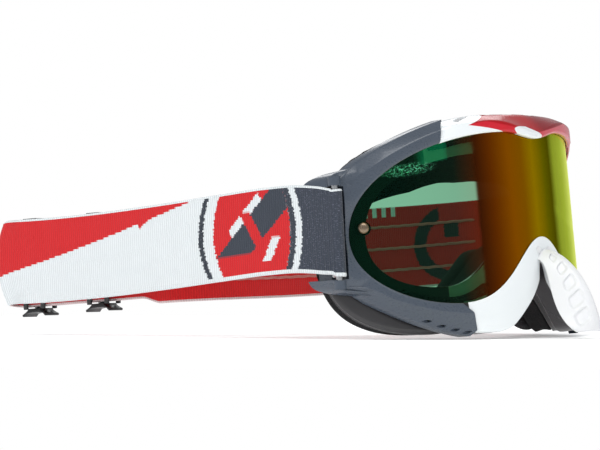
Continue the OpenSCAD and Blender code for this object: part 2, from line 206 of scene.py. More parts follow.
def rounded(corners, radii, steps):
    """Closed sections (M, K, 3) with each corner K rounded by its own radius."""
    count = corners.shape[1]
    out = []
    for i in range(count):
        corner = corners[:, i]
        before, after = corners[:, i - 1] - corner, corners[:, (i + 1) % count] - corner
        before_len = np.linalg.norm(before, axis=-1, keepdims=True) + 1e-9
        after_len = np.linalg.norm(after, axis=-1, keepdims=True) + 1e-9
        radius = np.minimum(radii[i], 0.46 * np.minimum(before_len, after_len))
        start = corner + before / before_len * radius
        end = corner + after / after_len * radius
        for j in range(steps + 1):
            t = j / steps
            out.append((1 - t) ** 2 * start + 2 * t * (1 - t) * corner + t * t * end)
    return np.stack(out, 1)


# ---------------------------------------------------------------- meshes
def link_object(name, mesh):
    ob = bpy.data.objects.new(name, mesh)
    SCENE.collection.objects.link(ob)
    return ob


def get_points(mesh):
    flat = np.zeros(len(mesh.vertices) * 3)
    mesh.vertices.foreach_get("co", flat)
    return flat.reshape(-1, 3)


def set_points(mesh, points):
    mesh.vertices.foreach_set("co", points.ravel())


def loop_vertices(mesh):
    ids = np.zeros(len(mesh.loops), np.int32)
    mesh.loops.foreach_get("vertex_index", ids)
    return ids


def add_uv(mesh, name, values):
    """UV map from one (u, v) per vertex."""
    layer = mesh.uv_layers.new(name=name)
    uv = values.reshape(-1, 2)[loop_vertices(mesh)]
    layer.data.foreach_set("uv", uv.astype(np.float32).ravel())


def tidy(ob):
    bm = bmesh.new()
    bm.from_mesh(ob.data)
    bmesh.ops.remove_doubles(bm, verts=bm.verts, dist=2e-6)
    bmesh.ops.dissolve_degenerate(bm, edges=bm.edges, dist=2e-6)
    bmesh.ops.recalc_face_normals(bm, faces=bm.faces)
    bm.to_mesh(ob.data)
    bm.free()


def build(name, grid, closed=False, caps=False, uv_maps=None):
    """Grid (M, N, 3) of closed sections in row metres to an object.

    closed joins the last section to the first; caps fills the two end sections.
    """
    rows, cols = grid.shape[:2]
    i, j = np.meshgrid(np.arange(rows if closed else rows - 1), np.arange(cols), indexing="ij")
    i_next, j_next = (i + 1) % rows, (j + 1) % cols
    quads = np.stack([i * cols + j, i_next * cols + j, i_next * cols + j_next, i * cols + j_next],
                     -1).reshape(-1, 4)
    faces = quads.tolist()
    if caps:
        faces += [list(range(cols - 1, -1, -1)), list(range((rows - 1) * cols, rows * cols))]
    mesh = bpy.data.meshes.new(name)
    mesh.from_pydata(grid.reshape(-1, 3).tolist(), [], faces)
    for layer, values in (uv_maps or {}).items():
        add_uv(mesh, layer, values)
    ob = link_object(name, mesh)
    tidy(ob)
    return ob


def shade(ob, degrees):
    """Smooth faces; edges steeper than the angle stay sharp."""
    bm = bmesh.new()
    bm.from_mesh(ob.data)
    limit = math.radians(degrees)
    for edge in bm.edges:
        edge.smooth = len(edge.link_faces) != 2 or edge.calc_face_angle(0) < limit
    for face in bm.faces:
        face.smooth = True
    bm.to_mesh(ob.data)
    bm.free()


def bake(ob):
    """Apply all modifiers."""
    depsgraph = bpy.context.evaluated_depsgraph_get()
    mesh = bpy.data.meshes.new_from_object(ob.evaluated_get(depsgraph))
    ob.modifiers.clear()
    old = ob.data
    ob.data = mesh
    bpy.data.meshes.remove(old)


def volume(mesh):
    bm = bmesh.new()
    bm.from_mesh(mesh)
    result = abs(bm.calc_volume(signed=True)) * 1e9
    bm.free()
    return result


def combine(ob, tools, operation="DIFFERENCE"):
    """Boolean with each tool in turn; a result that loses the body gets another solver."""
    for tool in tools:
        keep = ob.data.copy()
        before = volume(keep)
        for solver, use_self in (("EXACT", False), ("EXACT", True), ("FAST", False)):
            mod = ob.modifiers.new("b", "BOOLEAN")
            mod.operation, mod.solver, mod.object = operation, solver, tool
            mod.use_self = use_self
            bpy.context.view_layer.update()
            bake(ob)
            if 0.55 * before < volume(ob.data) < 1.6 * before:
                break
            ob.data = keep.copy()
        bpy.data.objects.remove(tool)


def from_bmesh(name, bm, place):
    """Move a bmesh in mm into the row and make it an object."""
    for vert in bm.verts:
        vert.co = place(np.array(vert.co)).tolist()
    mesh = bpy.data.meshes.new(name)
    bm.to_mesh(mesh)
    bm.free()
    return link_object(name, mesh)


def box(name, low, high, place, radius=0.0, segments=3):
    """Box between two corners (mm) with rounded edges."""
    bm = bmesh.new()
    bmesh.ops.create_cube(bm, size=1)
    low, high = np.array(low, float), np.array(high, float)
    for vert in bm.verts:
        vert.co = (low + (np.array(vert.co) + 0.5) * (high - low)).tolist()
    if radius:
        bmesh.ops.bevel(bm, geom=bm.edges[:], offset=radius, segments=segments, profile=0.5,
                        affect="EDGES")
    bmesh.ops.recalc_face_normals(bm, faces=bm.faces)
    return from_bmesh(name, bm, place)


def lathe(name, profile, place, count):
    """Profile [(radius, height)] in mm turned about z; its ends lie on the axis."""
    angle = np.linspace(0, 2 * math.pi, count, endpoint=False)
    profile = np.array(profile, float)
    radius = profile[:, None, 0]
    height = np.repeat(profile[:, 1:2], count, 1)
    return build(name, place(np.stack([radius * np.cos(angle), radius * np.sin(angle), height], -1)))


def rod(radius, length, place, count):
    """Plain cylinder standing on z = 0."""
    return lathe("t", [(0, 0), (radius, 0), (radius, length), (0, length)], place, count)


def extrude(name, polygon, x_start, x_end, place, radius):
    """(y, z) polygon carried along x (mm) with softened edges."""
    bm = bmesh.new()
    start = [bm.verts.new((x_start, y, z)) for y, z in polygon]
    end = [bm.verts.new((x_end, y, z)) for y, z in polygon]
    bm.faces.new(start)
    bm.faces.new(end[::-1])
    for i in range(len(polygon)):
        j = (i + 1) % len(polygon)
        bm.faces.new((start[i], end[i], end[j], start[j]))
    bmesh.ops.recalc_face_normals(bm, faces=bm.faces)
    sharp = [edge for edge in bm.edges if edge.calc_face_angle(0) > math.radians(40)]
    bmesh.ops.bevel(bm, geom=sharp, offset=radius, segments=2, profile=0.5, affect="EDGES")
    return from_bmesh(name, bm, place)


def select_only(*obs):
    bpy.ops.object.select_all(action="DESELECT")
    for ob in obs:
        ob.select_set(True)
    bpy.context.view_layer.objects.active = obs[0]


def join(name, obs):
    select_only(*obs)
    bpy.ops.object.join()
    ob = bpy.context.view_layer.objects.active
    ob.name = name
    ob.data.name = name
    return ob


def present(ob, materials, body, slot, *nodes):
    """Give a finished piece its materials, moving body and the CAD nodes it replaces; slot is not
    used.
    """
    ob.data.materials.clear()
    for material in materials:
        ob.data.materials.append(material)
    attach(ob, body)
    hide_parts(*nodes)


# ---------------------------------------------------------------- shader helpers
class Value:
    """A scalar socket in a node tree, with arithmetic."""

    def __init__(self, look, socket):
        self.look, self.socket = look, socket

    def op(self, name, *others, clamp=False):
        node = self.look.node("Math")
        node.operation = name
        node.use_clamp = clamp
        for socket, value in zip(node.inputs, (self, *others)):
            self.look.put(socket, value)
        return Value(self.look, node.outputs[0])

    def __add__(self, other): return self.op("ADD", other)
    def __radd__(self, other): return self.op("ADD", other)
    def __sub__(self, other): return self.op("SUBTRACT", other)
    def __rsub__(self, other): return (self * -1.0) + other
    def __mul__(self, other): return self.op("MULTIPLY", other)
    def __rmul__(self, other): return self.op("MULTIPLY", other)
    def __truediv__(self, other): return self.op("DIVIDE", other)
    def abs(self): return self.op("ABSOLUTE")
    def floor(self): return self.op("FLOOR")
    def sin(self): return self.op("SINE")
    def pow(self, other): return self.op("POWER", other)
    def max(self, other): return self.op("MAXIMUM", other)

    def above(self, edge, soft=0.3):
        """1 above edge, 0 below it, over a soft band."""
        return (((self - edge) / soft) + 0.5).op("ADD", 0.0, clamp=True)

    def below(self, edge, soft=0.3):
        return 1.0 - self.above(edge, soft)

    def between(self, low, high, soft=0.3):
        return self.above(low, soft) * self.below(high, soft)


class Look:
    """The node tree of a material or world, cleared, with its output node."""

    def __init__(self, owner, output="OutputMaterial"):
        self.owner = owner
        owner.use_nodes = True
        self.tree = owner.node_tree
        self.tree.nodes.clear()
        self.output = self.node(output)

    def node(self, kind):
        return self.tree.nodes.new("ShaderNode" + kind)

    def put(self, socket, value):
        """Link a socket or Value, or store a number or colour."""
        if isinstance(value, Value):
            value = value.socket
        if isinstance(value, bpy.types.NodeSocket):
            self.tree.links.new(value, socket)
        elif isinstance(value, tuple) and socket.type == "RGBA":
            socket.default_value = (*value, 1.0)[:4]
        else:
            socket.default_value = value

    def make(self, kind, *inputs, **labelled):
        """New node with its inputs set by order or by label; returns its first output."""
        node = self.node(kind)
        for socket, value in zip(node.inputs, inputs):
            self.put(socket, value)
        for label, value in labelled.items():
            self.put(node.inputs[label], value)
        return node.outputs[0]

    def show(self, shader):
        self.tree.links.new(shader, self.output.inputs[0])
        return self.owner

    def surface(self, inputs):
        return self.show(self.make("BsdfPrincipled", **inputs))

    def coords(self):
        return self.node("TexCoord").outputs["Object"]

    def row_mm(self):
        """Row x, y, z in mm, with the goggle frame's origin as zero."""
        split_node = self.node("SeparateXYZ")
        self.put(split_node.inputs[0], self.coords())
        x, y, z = (Value(self, split_node.outputs[i]) * 1000.0 for i in range(3))
        return x, y - SHIFT_Y, z - SHIFT_Z

    def uv(self, layer):
        """u, v and the whole vector of a UV map."""
        uv_node = self.node("UVMap")
        uv_node.uv_map = layer
        split_node = self.node("SeparateXYZ")
        self.put(split_node.inputs[0], uv_node.outputs[0])
        u, v = (Value(self, split_node.outputs[i]) for i in range(2))
        return u, v, uv_node.outputs[0]

    def noise(self, coords, scale, detail=3, rough=0.5, warp=0.0):
        return Value(self, self.make("TexNoise", Vector=coords, Scale=scale, Detail=detail,
                                     Roughness=rough, Distortion=warp))

    def cells(self, coords, scale):
        return Value(self, self.make("TexVoronoi", Vector=coords, Scale=scale))

    def stretch(self, coords, scale):
        return self.make("Mapping", coords, Scale=scale)

    def mix(self, part, base, over):
        node = self.node("Mix")
        node.data_type = "RGBA"
        for index, value in ((0, part), (6, base), (7, over)):
            self.put(node.inputs[index], value)
        return node.outputs[2]

    def paint_over(self, base, layers):
        """Lay (mask, colour) pairs over a base colour."""
        for mask, colour in layers:
            base = self.mix(mask, base, colour)
        return base

    def ramp(self, part, stops):
        node = self.node("ValToRGB")
        node.color_ramp.interpolation = "LINEAR"
        elements = node.color_ramp.elements
        while len(elements) < len(stops):
            elements.new(0.5)
        for element, (position, colour) in zip(elements, stops):
            element.position = position
            element.color = (*colour, 1.0)
        self.put(node.inputs[0], part)
        return node.outputs[0]

    def dot(self, a, b):
        node = self.node("VectorMath")
        node.operation = "DOT_PRODUCT"
        self.put(node.inputs[0], a)
        self.put(node.inputs[1], b)
        return Value(self, node.outputs["Value"])

    def bump(self, height, distance, strength, **normal):
        return self.make("Bump", Height=height, Distance=distance, Strength=strength, **normal)

    def round_edges(self, radius):
        node = self.node("Bevel")
        node.samples = 4
        node.inputs["Radius"].default_value = radius
        return node.outputs[0]

    def pointiness(self):
        """About 0.5 on flats, more on convex edges, less in hollows."""
        return Value(self, self.node("NewGeometry").outputs["Pointiness"])


def new_look(name):
    return Look(bpy.data.materials.new(name))


def srgb(*rgb):
    """0-255 display colour to linear."""
    parts = (v / 255 for v in rgb)
    return tuple(c / 12.92 if c <= 0.04045 else ((c + 0.055) / 1.055) ** 2.4 for c in parts)


def scaled(colour, gain, lift=0.0, top=1.0):
    return tuple(min(top, v * gain + lift) for v in colour)


# ---------------------------------------------------------------- materials
def plastic_look(name, colour, rough, edge, grain, grain_scale, coat, lighten, tint=None):
    """Moulded plastic: clouded colour, lighter worn edges, scuffed gloss, fine grain."""
    look = new_look(name)
    coords = look.coords()
    cloud = look.noise(coords, scale=60)
    fine = look.noise(coords, scale=grain_scale, detail=2)
    convex = (look.pointiness() - 0.53).op("MULTIPLY", 9.0, clamp=True)
    worn = convex * look.noise(coords, scale=700).above(0.5)
    clouded = look.mix((cloud - 0.35) * 0.6, colour, scaled(colour, gain=1.14, lift=0.004))
    base = look.mix(worn * lighten, clouded, scaled(colour, gain=1.35, lift=0.02))
    scuff = look.noise(look.stretch(coords, (1, 0.2, 1)), scale=900, detail=4, rough=0.7)
    return look.surface({
        "Base Color": tint(look, base) if tint else base,
        "Roughness": rough + (scuff - 0.5) * 0.12 + worn * 0.1,
        "Coat Weight": coat,
        "Coat Roughness": 0.08,
        "Normal": look.bump(fine + cloud * 0.6, distance=grain, strength=0.6,
                            Normal=look.round_edges(edge)),
    })


def panel_tint(look, base):
    """Red print on the brow end of the +x panel, pink with painted glare below the facet line and
    darker with painted shade above it.
    """
    x, row_y, row_z = look.row_mm()
    z = row_y * LEAN_SIN + row_z * LEAN_COS
    red = x.above(40.0, soft=0.2) * x.below(66.0, soft=0.6) * z.above(20.0, soft=0.5)
    # painted light on the print: pink painted glare below z 47.6, darker painted shade above it
    glare_and_shade_reds = look.mix(z.above(47.6, soft=0.5), srgb(196, 84, 94), srgb(132, 8, 22))
    return look.mix(red, base, glare_and_shade_reds)


def frame_look():
    """White gloss with a red brow print, dark where the panels and cushion meet it."""
    look = new_look("frame_white")
    x, row_y, row_z = look.row_mm()
    y = row_y * LEAN_COS - row_z * LEAN_SIN
    z = row_y * LEAN_SIN + row_z * LEAN_COS
    coords = look.coords()
    lip_radius_squared = 8172.2

    def behind_lip():
        """Distance behind the front lip's cylinder."""
        return y + (lip_radius_squared - x * x).max(0.0).pow(0.5)

    # red brow print: a bowed wedge from its tip to wedge_end, then the rest of the brow
    tip, wedge_end = 39.6, -14.6
    low_line = (z - 49.2) - (x + tip) * (44.4 - 49.2) / (wedge_end + tip)
    high_line = (z - 49.0) - (x + tip) * (53.4 - 49.0) / (-27.5 + tip)
    bow = ((x + tip) * 0.126).sin() * -0.45
    wedge = ((low_line + bow).above(0, soft=0.12) * high_line.below(0, soft=0.12)
             * x.above(-40.2, soft=0.2) * x.below(wedge_end, soft=0.02))
    rest = x.above(-14.65, soft=0.02) * z.above(24.0, soft=0.2) * x.below(60.0, soft=0.15)
    red = wedge.max(rest)
    # pale slanted oval over the centre dip: half width 9.6, half height 2.9
    oval = ((x + 5.2).abs() / 9.6 + ((z - 45.4 + (x + 5.2) * 0.16) / 2.9).abs().pow(2.2))
    red = red * (1.0 - oval.below(1.0, soft=0.05) * z.above(38.0, soft=0.1))
    # painted light on the red print: painted shade darkens it above a facet line that climbs 5.2 from
    # the centre; towards +x painted glare turns the lower facet pink and painted shade darkens the
    # upper one
    across = x.abs()
    crease = (across - 1.0).op("DIVIDE", 29.0, clamp=True)
    facet = z - (45.4 + crease * 5.2 - (across - 30.0).max(0.0) * 0.12)
    # masks for that painted light: the upper facet in painted shade, the +x side in painted glare
    # below and painted shade above
    upper = facet.above(0, soft=0.5)
    right = x.above(4.0, soft=8.0)
    red_print_lit_and_shaded = look.mix(upper, look.mix(right, srgb(196, 30, 44), srgb(196, 84, 94)),
                          look.mix(right, srgb(164, 0, 14), srgb(128, 4, 18)))
    fleck = look.noise(coords, scale=2600, detail=2).above(0.66, soft=0.08)
    fleck = fleck * look.noise(coords, scale=90, detail=2)
    red_print_lit_and_shaded = look.mix(fleck * 0.18, red_print_lit_and_shaded, srgb(225, 70, 74))
    # the moulding turns dark behind the side panels
    behind = behind_lip().above(1.6)
    brow_gap = z.above(40.0, soft=0.2) * x.above(0.0, soft=0.2) * x.below(56.0, soft=0.1)
    dark = ((x.abs() - 50.9).above(0, soft=0.15) * (1.0 - brow_gap)).max(
        (x.abs() - 44.6).above(0, soft=0.15) * z.below(0.0, soft=0.2)).max(
        (x.abs() - 49.6).above(0, soft=0.15) * behind)
    cloud = look.noise(coords, scale=45)
    white = look.mix(cloud * 0.5, srgb(226, 231, 233), srgb(236, 239, 240))
    # painted shade: the white is darkened in hollows
    hollow_shade = (0.485 - look.pointiness()).op("MULTIPLY", 20.0, clamp=True)
    white = look.mix(hollow_shade * 0.25, white, srgb(196, 202, 206))
    # behind the front band the outer wall under the nose is dark grey
    normal = look.node("NewGeometry").outputs["Normal"]
    side_wall = look.dot(normal, (0.0, -LEAN_COS, LEAN_SIN)).below(0.45, soft=0.2)
    under = (side_wall * behind.max(0.0) * behind_lip().above(2.8, soft=0.4)
             * z.below(-1.0, soft=0.5))
    height = (look.noise(coords, scale=260, detail=2)
              + look.noise(coords, scale=3200, detail=2) * 0.12 + red * 0.25)
    return look.surface({
        "Base Color": look.paint_over(white, [
            (red, red_print_lit_and_shaded), (dark, srgb(11, 11, 13)), (under, srgb(52, 50, 53))]),
        "Roughness": 0.2 + look.noise(coords, scale=500) * 0.1 + dark * 0.06,
        "Coat Weight": 0.35 - red * 0.25,
        "Specular IOR Level": 0.5 - red * 0.25,
        "Coat Roughness": 0.05,
        "Normal": look.bump(height, distance=0.00005, strength=0.7,
                            Normal=look.round_edges(0.0003)),
    })


# Both over the cosine of the viewing angle: 0 edge-on, 1 face-on.
# (cosine, linear colour let through)
FILM_THROUGH = [
    (0.0, (0.02, 0.02, 0.01)), (0.30, (0.05, 0.05, 0.03)), (0.50, (0.07, 0.06, 0.04)),
    (0.70, (0.07, 0.05, 0.03)), (0.82, (0.07, 0.05, 0.035)), (0.832, (0.08, 0.06, 0.04)),
    (0.842, (0.42, 0.62, 0.50)), (1.0, (0.44, 0.68, 0.54)),
]
# (cosine, gain, display colour reflected)
FILM_REFLECTED = [
    (0.0, 1.7, (214, 222, 130)), (0.12, 1.6, (190, 202, 90)), (0.25, 1.6, (150, 165, 50)),
    (0.36, 1.5, (136, 150, 40)), (0.415, 1.0, (90, 86, 0)), (0.47, 1.0, (112, 106, 0)),
    (0.56, 1.0, (166, 132, 0)), (0.63, 1.0, (150, 96, 0)), (0.70, 1.0, (158, 90, 0)),
    (0.78, 1.0, (120, 56, 2)), (0.84, 1.0, (70, 30, 10)), (0.90, 1.0, (20, 30, 24)),
    (1.0, 1.0, (6, 22, 18)),
]


def film_look():
    """Mirror film whose colour turns with the viewing angle."""
    look = new_look("mirror_film")
    geometry = look.node("NewGeometry")
    facing = look.dot(geometry.outputs["Normal"], geometry.outputs["Incoming"]).abs()
    x, z, _ = look.uv("mm")
    coords = look.coords()
    wobble = look.noise(coords, scale=26, detail=2)
    turned = facing + (wobble - 0.5) * 0.02
    through = look.ramp(facing + (wobble - 0.5) * 0.004, FILM_THROUGH)
    reflected = look.ramp(turned, [(cosine, scaled(srgb(*rgb), gain, top=math.inf))
                                   for cosine, gain, rgb in FILM_REFLECTED])
    # painted reflection: green glint sparks in an oval at the upper -x corner, over a painted green
    # reflection sheet beside it, both fixed on the film
    spot_x = (x + 61.0) / 10.0
    spot_z = (z - 31.8 - (x + 61.0) * 0.10) / 3.0
    glint_spot = (1.0 - (spot_x * spot_x + spot_z * spot_z)).op("ADD", 0.0, clamp=True)
    glint_sparks = look.noise(look.stretch(coords, (1, 1, 1.6)), scale=1100, rough=0.7)
    glint_sparks = glint_sparks.above(0.56, soft=0.05)
    glint_sheet = (x.above(-57.0, soft=3.0) * x.below(-47.0)
             * (z - 33.6 - (x + 57.0) * 0.16).above(0.0, soft=0.6))
    reflected = look.paint_over(reflected, [
        (glint_sheet * 0.75, srgb(10, 110, 72))]) if False else look.mix(
        glint_spot * glint_sparks, look.mix(glint_sheet * 0.75, reflected, srgb(10, 110, 72)), srgb(120, 235, 180))
    speck = look.noise(coords, scale=1500, detail=2).above(0.72, soft=0.04)
    ripple = look.bump(wobble * 0.4 + speck * 0.1, distance=0.0006, strength=0.25)
    clear = look.make("AddShader", look.make("BsdfTransparent", Color=through),
                      look.make("BsdfGlossy", Color=reflected, Roughness=0.045, Normal=ripple))
    matt_part = (0.85 - facing).op("MULTIPLY", 0.55, clamp=True) + speck * 0.05
    return look.show(look.make("MixShader", matt_part, clear,
                               look.make("BsdfDiffuse", Color=reflected)))


def lens_inner_look():
    look = new_look("lens_inner")
    clear = look.make("BsdfTransparent", Color=(0.95, 0.97, 0.96))
    gloss = look.make("BsdfGlossy", Color=(0.05, 0.06, 0.05), Roughness=0.08)
    return look.show(look.make("AddShader", clear, gloss))


def metal_look(name, colour, rough):
    look = new_look(name)
    coords = look.coords()
    scratch = look.noise(look.stretch(coords, (1, 1, 0.04)), scale=9000, rough=0.6)
    cloud = look.noise(coords, scale=400)
    return look.surface({
        "Metallic": 1.0,
        "Base Color": look.mix(cloud, colour, scaled(colour, gain=0.72)),
        "Roughness": rough + (scratch - 0.5) * 0.2,
        "Normal": look.bump(scratch, distance=0.00003, strength=0.6,
                            Normal=look.round_edges(0.0001)),
    })


def foam_look(name, colour, cell_scale, depth):
    """Open-cell foam: pale struts, with painted shade darkening the pores between them."""
    look = new_look(name)
    coords = look.coords()
    large = look.cells(coords, scale=cell_scale)
    small = look.cells(coords, scale=cell_scale * 2.3)
    cloud = look.noise(coords, scale=cell_scale * 0.25)
    strut = large.above(0.42)
    return look.surface({
        "Base Color": look.paint_over(colour, [
            (strut * 0.35 + cloud * 0.3, scaled(colour, gain=2.2, lift=0.01)),
            # painted shade in the pores
            (small.below(0.18, soft=0.1) * 0.8, scaled(colour, gain=0.35))]),
        "Roughness": 0.85,
        "Specular IOR Level": 0.25,
        "Normal": look.bump(large + small * 0.4 + cloud * 0.5, distance=depth, strength=0.9),
    })


def fleece_look():
    look = new_look("fleece_black")
    coords = look.coords()
    fibre = look.noise(coords, scale=2600, detail=4, rough=0.75, warp=0.6)
    cloud = look.noise(coords, scale=500)
    nap = look.noise(look.stretch(coords, (1, 3, 1)), scale=900)
    base = look.mix(fibre * 0.5 + cloud * 0.5, srgb(16, 16, 17), srgb(44, 44, 46))
    return look.surface({
        "Base Color": look.mix(fibre.above(0.62, soft=0.1) * 0.35, base, srgb(84, 84, 86)),
        "Roughness": 0.95,
        "Specular IOR Level": 0.15,
        "Sheen Weight": 0.45,
        "Sheen Roughness": 0.45,
        "Sheen Tint": srgb(120, 120, 122),
        "Normal": look.bump(fibre + nap * 0.6, distance=0.00035, strength=0.8),
    })


RIB_PITCH = 1.15  # webbing's cross ribs, mm
STITCH_LENGTH, STITCH_WIDTH = 0.55, 0.75  # one stitch of the print along and across, mm


def webbing_look():
    """Woven elastic: ribs across its width, printed pattern in whole stitches.

    The "mm" map holds distance along and height across, "aux" is +1 outside and -1 inside.
    """
    look = new_look("webbing")
    along, across, weave_uv = look.uv("mm")
    face_side = look.uv("aux")[0]
    # the print steps in whole stitches, each row shifted by its own jitter
    row_seed = (across / STITCH_WIDTH).floor() * 7.31
    jitter = ((row_seed.sin() * 43.7).sin() * 0.35)
    s = ((along + jitter) / STITCH_LENGTH).floor() * STITCH_LENGTH
    z = (across / STITCH_WIDTH).floor() * STITCH_WIDTH
    height = z.abs()
    inside = face_side.below(0.0, soft=0.1)
    # two curved edges bound the patterned field
    first = 16.2 + (z * z) * 0.0105
    last = 71.6 - (z * z) * 0.014

    def strip(edge, low, high):
        return (s - edge).above(low) * (s - edge).below(high)

    dark_end = (s - first).below(0)
    stripe = strip(first, 0, 3.3)
    dark_inner = strip(first, 3.3, 6.4)
    arc = strip(last, -1.4, 1.2)
    gap = strip(last, -7.0, -1.4)
    field = (s - first).above(6.4) * (s - last).below(-7.0)
    # plain slanted bars fill the field
    falling = s + z * 1.15
    rising = s - z * 0.55
    dark_bar = falling.between(34.0, 53.0) * z.above(-9.0)
    white_bar = falling.between(53.0, 58.5) * rising.above(30.0) * rising.below(55.0)
    red_bar = rising.between(39.5, 45.0) * z.below(9.0)
    tick = ((s + z * 0.55).above(26.5) * (s + z * 0.55).below(31.0)
            * z.below(-3.0) * z.above(-13.0))
    # red wedge towards the rear, with one sawtooth between 100 and 106
    wedge_line = -5.6 + (184.0 - s) * 0.2148
    tooth = (((s - 100.0).above(0, soft=0.2) * (s - 106.0).below(0, soft=0.2))
             * ((s - 100.0) * 0.5))
    wedge = (z - (wedge_line - tooth * 0.9)).above(0, soft=0.2) * s.above(73.5, soft=0.2)
    hem = height.above(17.6, soft=0.25)
    white, red = srgb(232, 238, 240), srgb(214, 40, 44)
    outer_print = look.paint_over(white, [
        (wedge, red), (field, red), (field * dark_bar, srgb(64, 70, 80)),
        (field * white_bar, white), (field * red_bar, red), (field * tick, white),
        (gap, white), (arc, srgb(56, 62, 70)), (dark_inner, srgb(60, 66, 75)),
        (stripe, white), (dark_end, srgb(62, 68, 79)), (hem, white)])
    # the inner face is red with a dark open ring and tab, a white comb and pale hems
    ring_s = (s - 54.4) / 21.0
    ring_z = z / 17.5
    hole = ((s - 47.2) / 21.0).pow(2.0) + (ring_z * 1.25).pow(2.0)
    ring = ((ring_s * ring_s + ring_z * ring_z).below(1.0, soft=0.04)
            * (1.0 - hole.below(1.0, soft=0.04)))
    ring = ring * (1.0 - z.above(4.0) * s.below(60.5))
    tab = (s - 54.2).abs().below(3.8) * (z - 6.2).abs().below(3.4)
    comb = (((along * 1.1).sin().above(0.1)) * across.above(14.5, soft=0.5)
            * along.above(84.0, soft=0.4) * along.below(126.0, soft=0.4))
    inner_print = look.paint_over(srgb(226, 38, 40), [
        (ring.max(tab), srgb(40, 44, 50)), (comb, white),
        (height.above(18.1, soft=0.2), srgb(226, 206, 206))])
    colour = look.mix(inside, outer_print, inner_print)
    # weave relief and the shadow in its hollows
    rib = (along * (2 * math.pi / RIB_PITCH)).sin()
    thread = (((along * (2 * math.pi / (RIB_PITCH / 2))).sin())
              * ((across * (2 * math.pi / 1.1)).sin()))
    knit = look.noise(look.stretch(weave_uv, (0.55, 1.6, 1)), scale=1.6, rough=0.6)
    pucker = look.noise(look.stretch(weave_uv, (1.0, 0.06, 1)), scale=1.1, detail=2)
    shadow = ((rib * -0.5 + 0.5) * 0.28 + (thread * -0.5 + 0.5) * 0.16
              + (knit - 0.5).abs() * 0.35)
    colour = look.mix(shadow, colour, look.mix(0.6, colour, (0.01, 0.01, 0.012)))
    fuzz = (knit.above(0.63, soft=0.1) * dark_end.max(dark_inner).max(arc) * (1.0 - inside))
    relief = rib * 0.5 + thread * 0.35 + knit * 0.7 + dark_end * pucker * 2.0 + hem * 0.8
    return look.surface({
        "Base Color": look.mix(fuzz * 0.5, colour, srgb(150, 152, 172)),
        "Roughness": 0.82,
        "Specular IOR Level": 0.25,
        "Sheen Weight": 0.15,
        "Sheen Roughness": 0.4,
        "Normal": look.bump(relief, distance=0.00016, strength=0.85),
    })


def silicone_look():
    look = new_look("silicone")
    cloud = look.noise(look.coords(), scale=600)
    return look.surface({
        "Base Color": look.mix(cloud, srgb(176, 96, 92), srgb(204, 130, 124)),
        "Roughness": 0.32 + cloud * 0.15,
        "Subsurface Weight": 0.2,
        "Subsurface Scale": 0.0006,
        "Normal": look.bump(cloud, distance=0.0001, strength=0.5),
    })


FRAME_WHITE = frame_look()
PANEL_GREY = plastic_look("panel_grey", srgb(62, 71, 83), rough=0.28, edge=0.00045, grain=0.00003,
                          grain_scale=4200, coat=0.3, lighten=0.2, tint=panel_tint)
MIRROR_FILM = film_look()
LENS_INNER = lens_inner_look()
POST_METAL = metal_look("post_metal", srgb(150, 132, 112), rough=0.28)
BAR_STEEL = metal_look("bar_steel", srgb(190, 192, 194), rough=0.3)
WASHER_BLACK = plastic_look("washer_black", srgb(24, 24, 25), rough=0.6, edge=0.0001,
                            grain=0.00004, grain_scale=3000, coat=0, lighten=0.3)
GUARD_WHITE = plastic_look("guard_white", srgb(222, 223, 225), rough=0.34, edge=0.0004,
                           grain=0.00003, grain_scale=2600, coat=0, lighten=0.2)
FLANGE_GREY = plastic_look("flange_grey", srgb(48, 47, 49), rough=0.24, edge=0.0005,
                           grain=0.00003, grain_scale=3600, coat=0.15, lighten=0.4)
BUCKLE_BLACK = plastic_look("buckle_black", srgb(26, 27, 29), rough=0.36, edge=0.0003,
                            grain=0.00004, grain_scale=3000, coat=0, lighten=0.5)
FOAM_BLACK = foam_look("foam_black", srgb(24, 24, 25), cell_scale=1500, depth=0.0005)
VENT_FOAM = foam_look("vent_foam", srgb(36, 37, 38), cell_scale=900, depth=0.0008)
FLEECE_BLACK = fleece_look()
WEBBING = webbing_look()
SILICONE = silicone_look()

# ---------------------------------------------------------------- frame
SEAT_RADIUS, GROOVE_RADIUS = 88.2, 89.9  # back and front walls of the lens groove
BACK_WALL = 2.2  # thickness of the frame's back flange
POCKET_PITCH, POCKET_HALF, POCKET_DEPTH = 15, 4.5, 2.8
PIN_X, PIN_Z = 4, -6  # nose guard pins and their holes


def pin_place(side, start_y):
    """Stand a turned shape's axis along y at one nose guard pin."""
    def place(points):
        x, y, z = split(points)
        return to_row(np.stack([x + side * PIN_X, z + start_y, y + PIN_Z], -1))
    return place


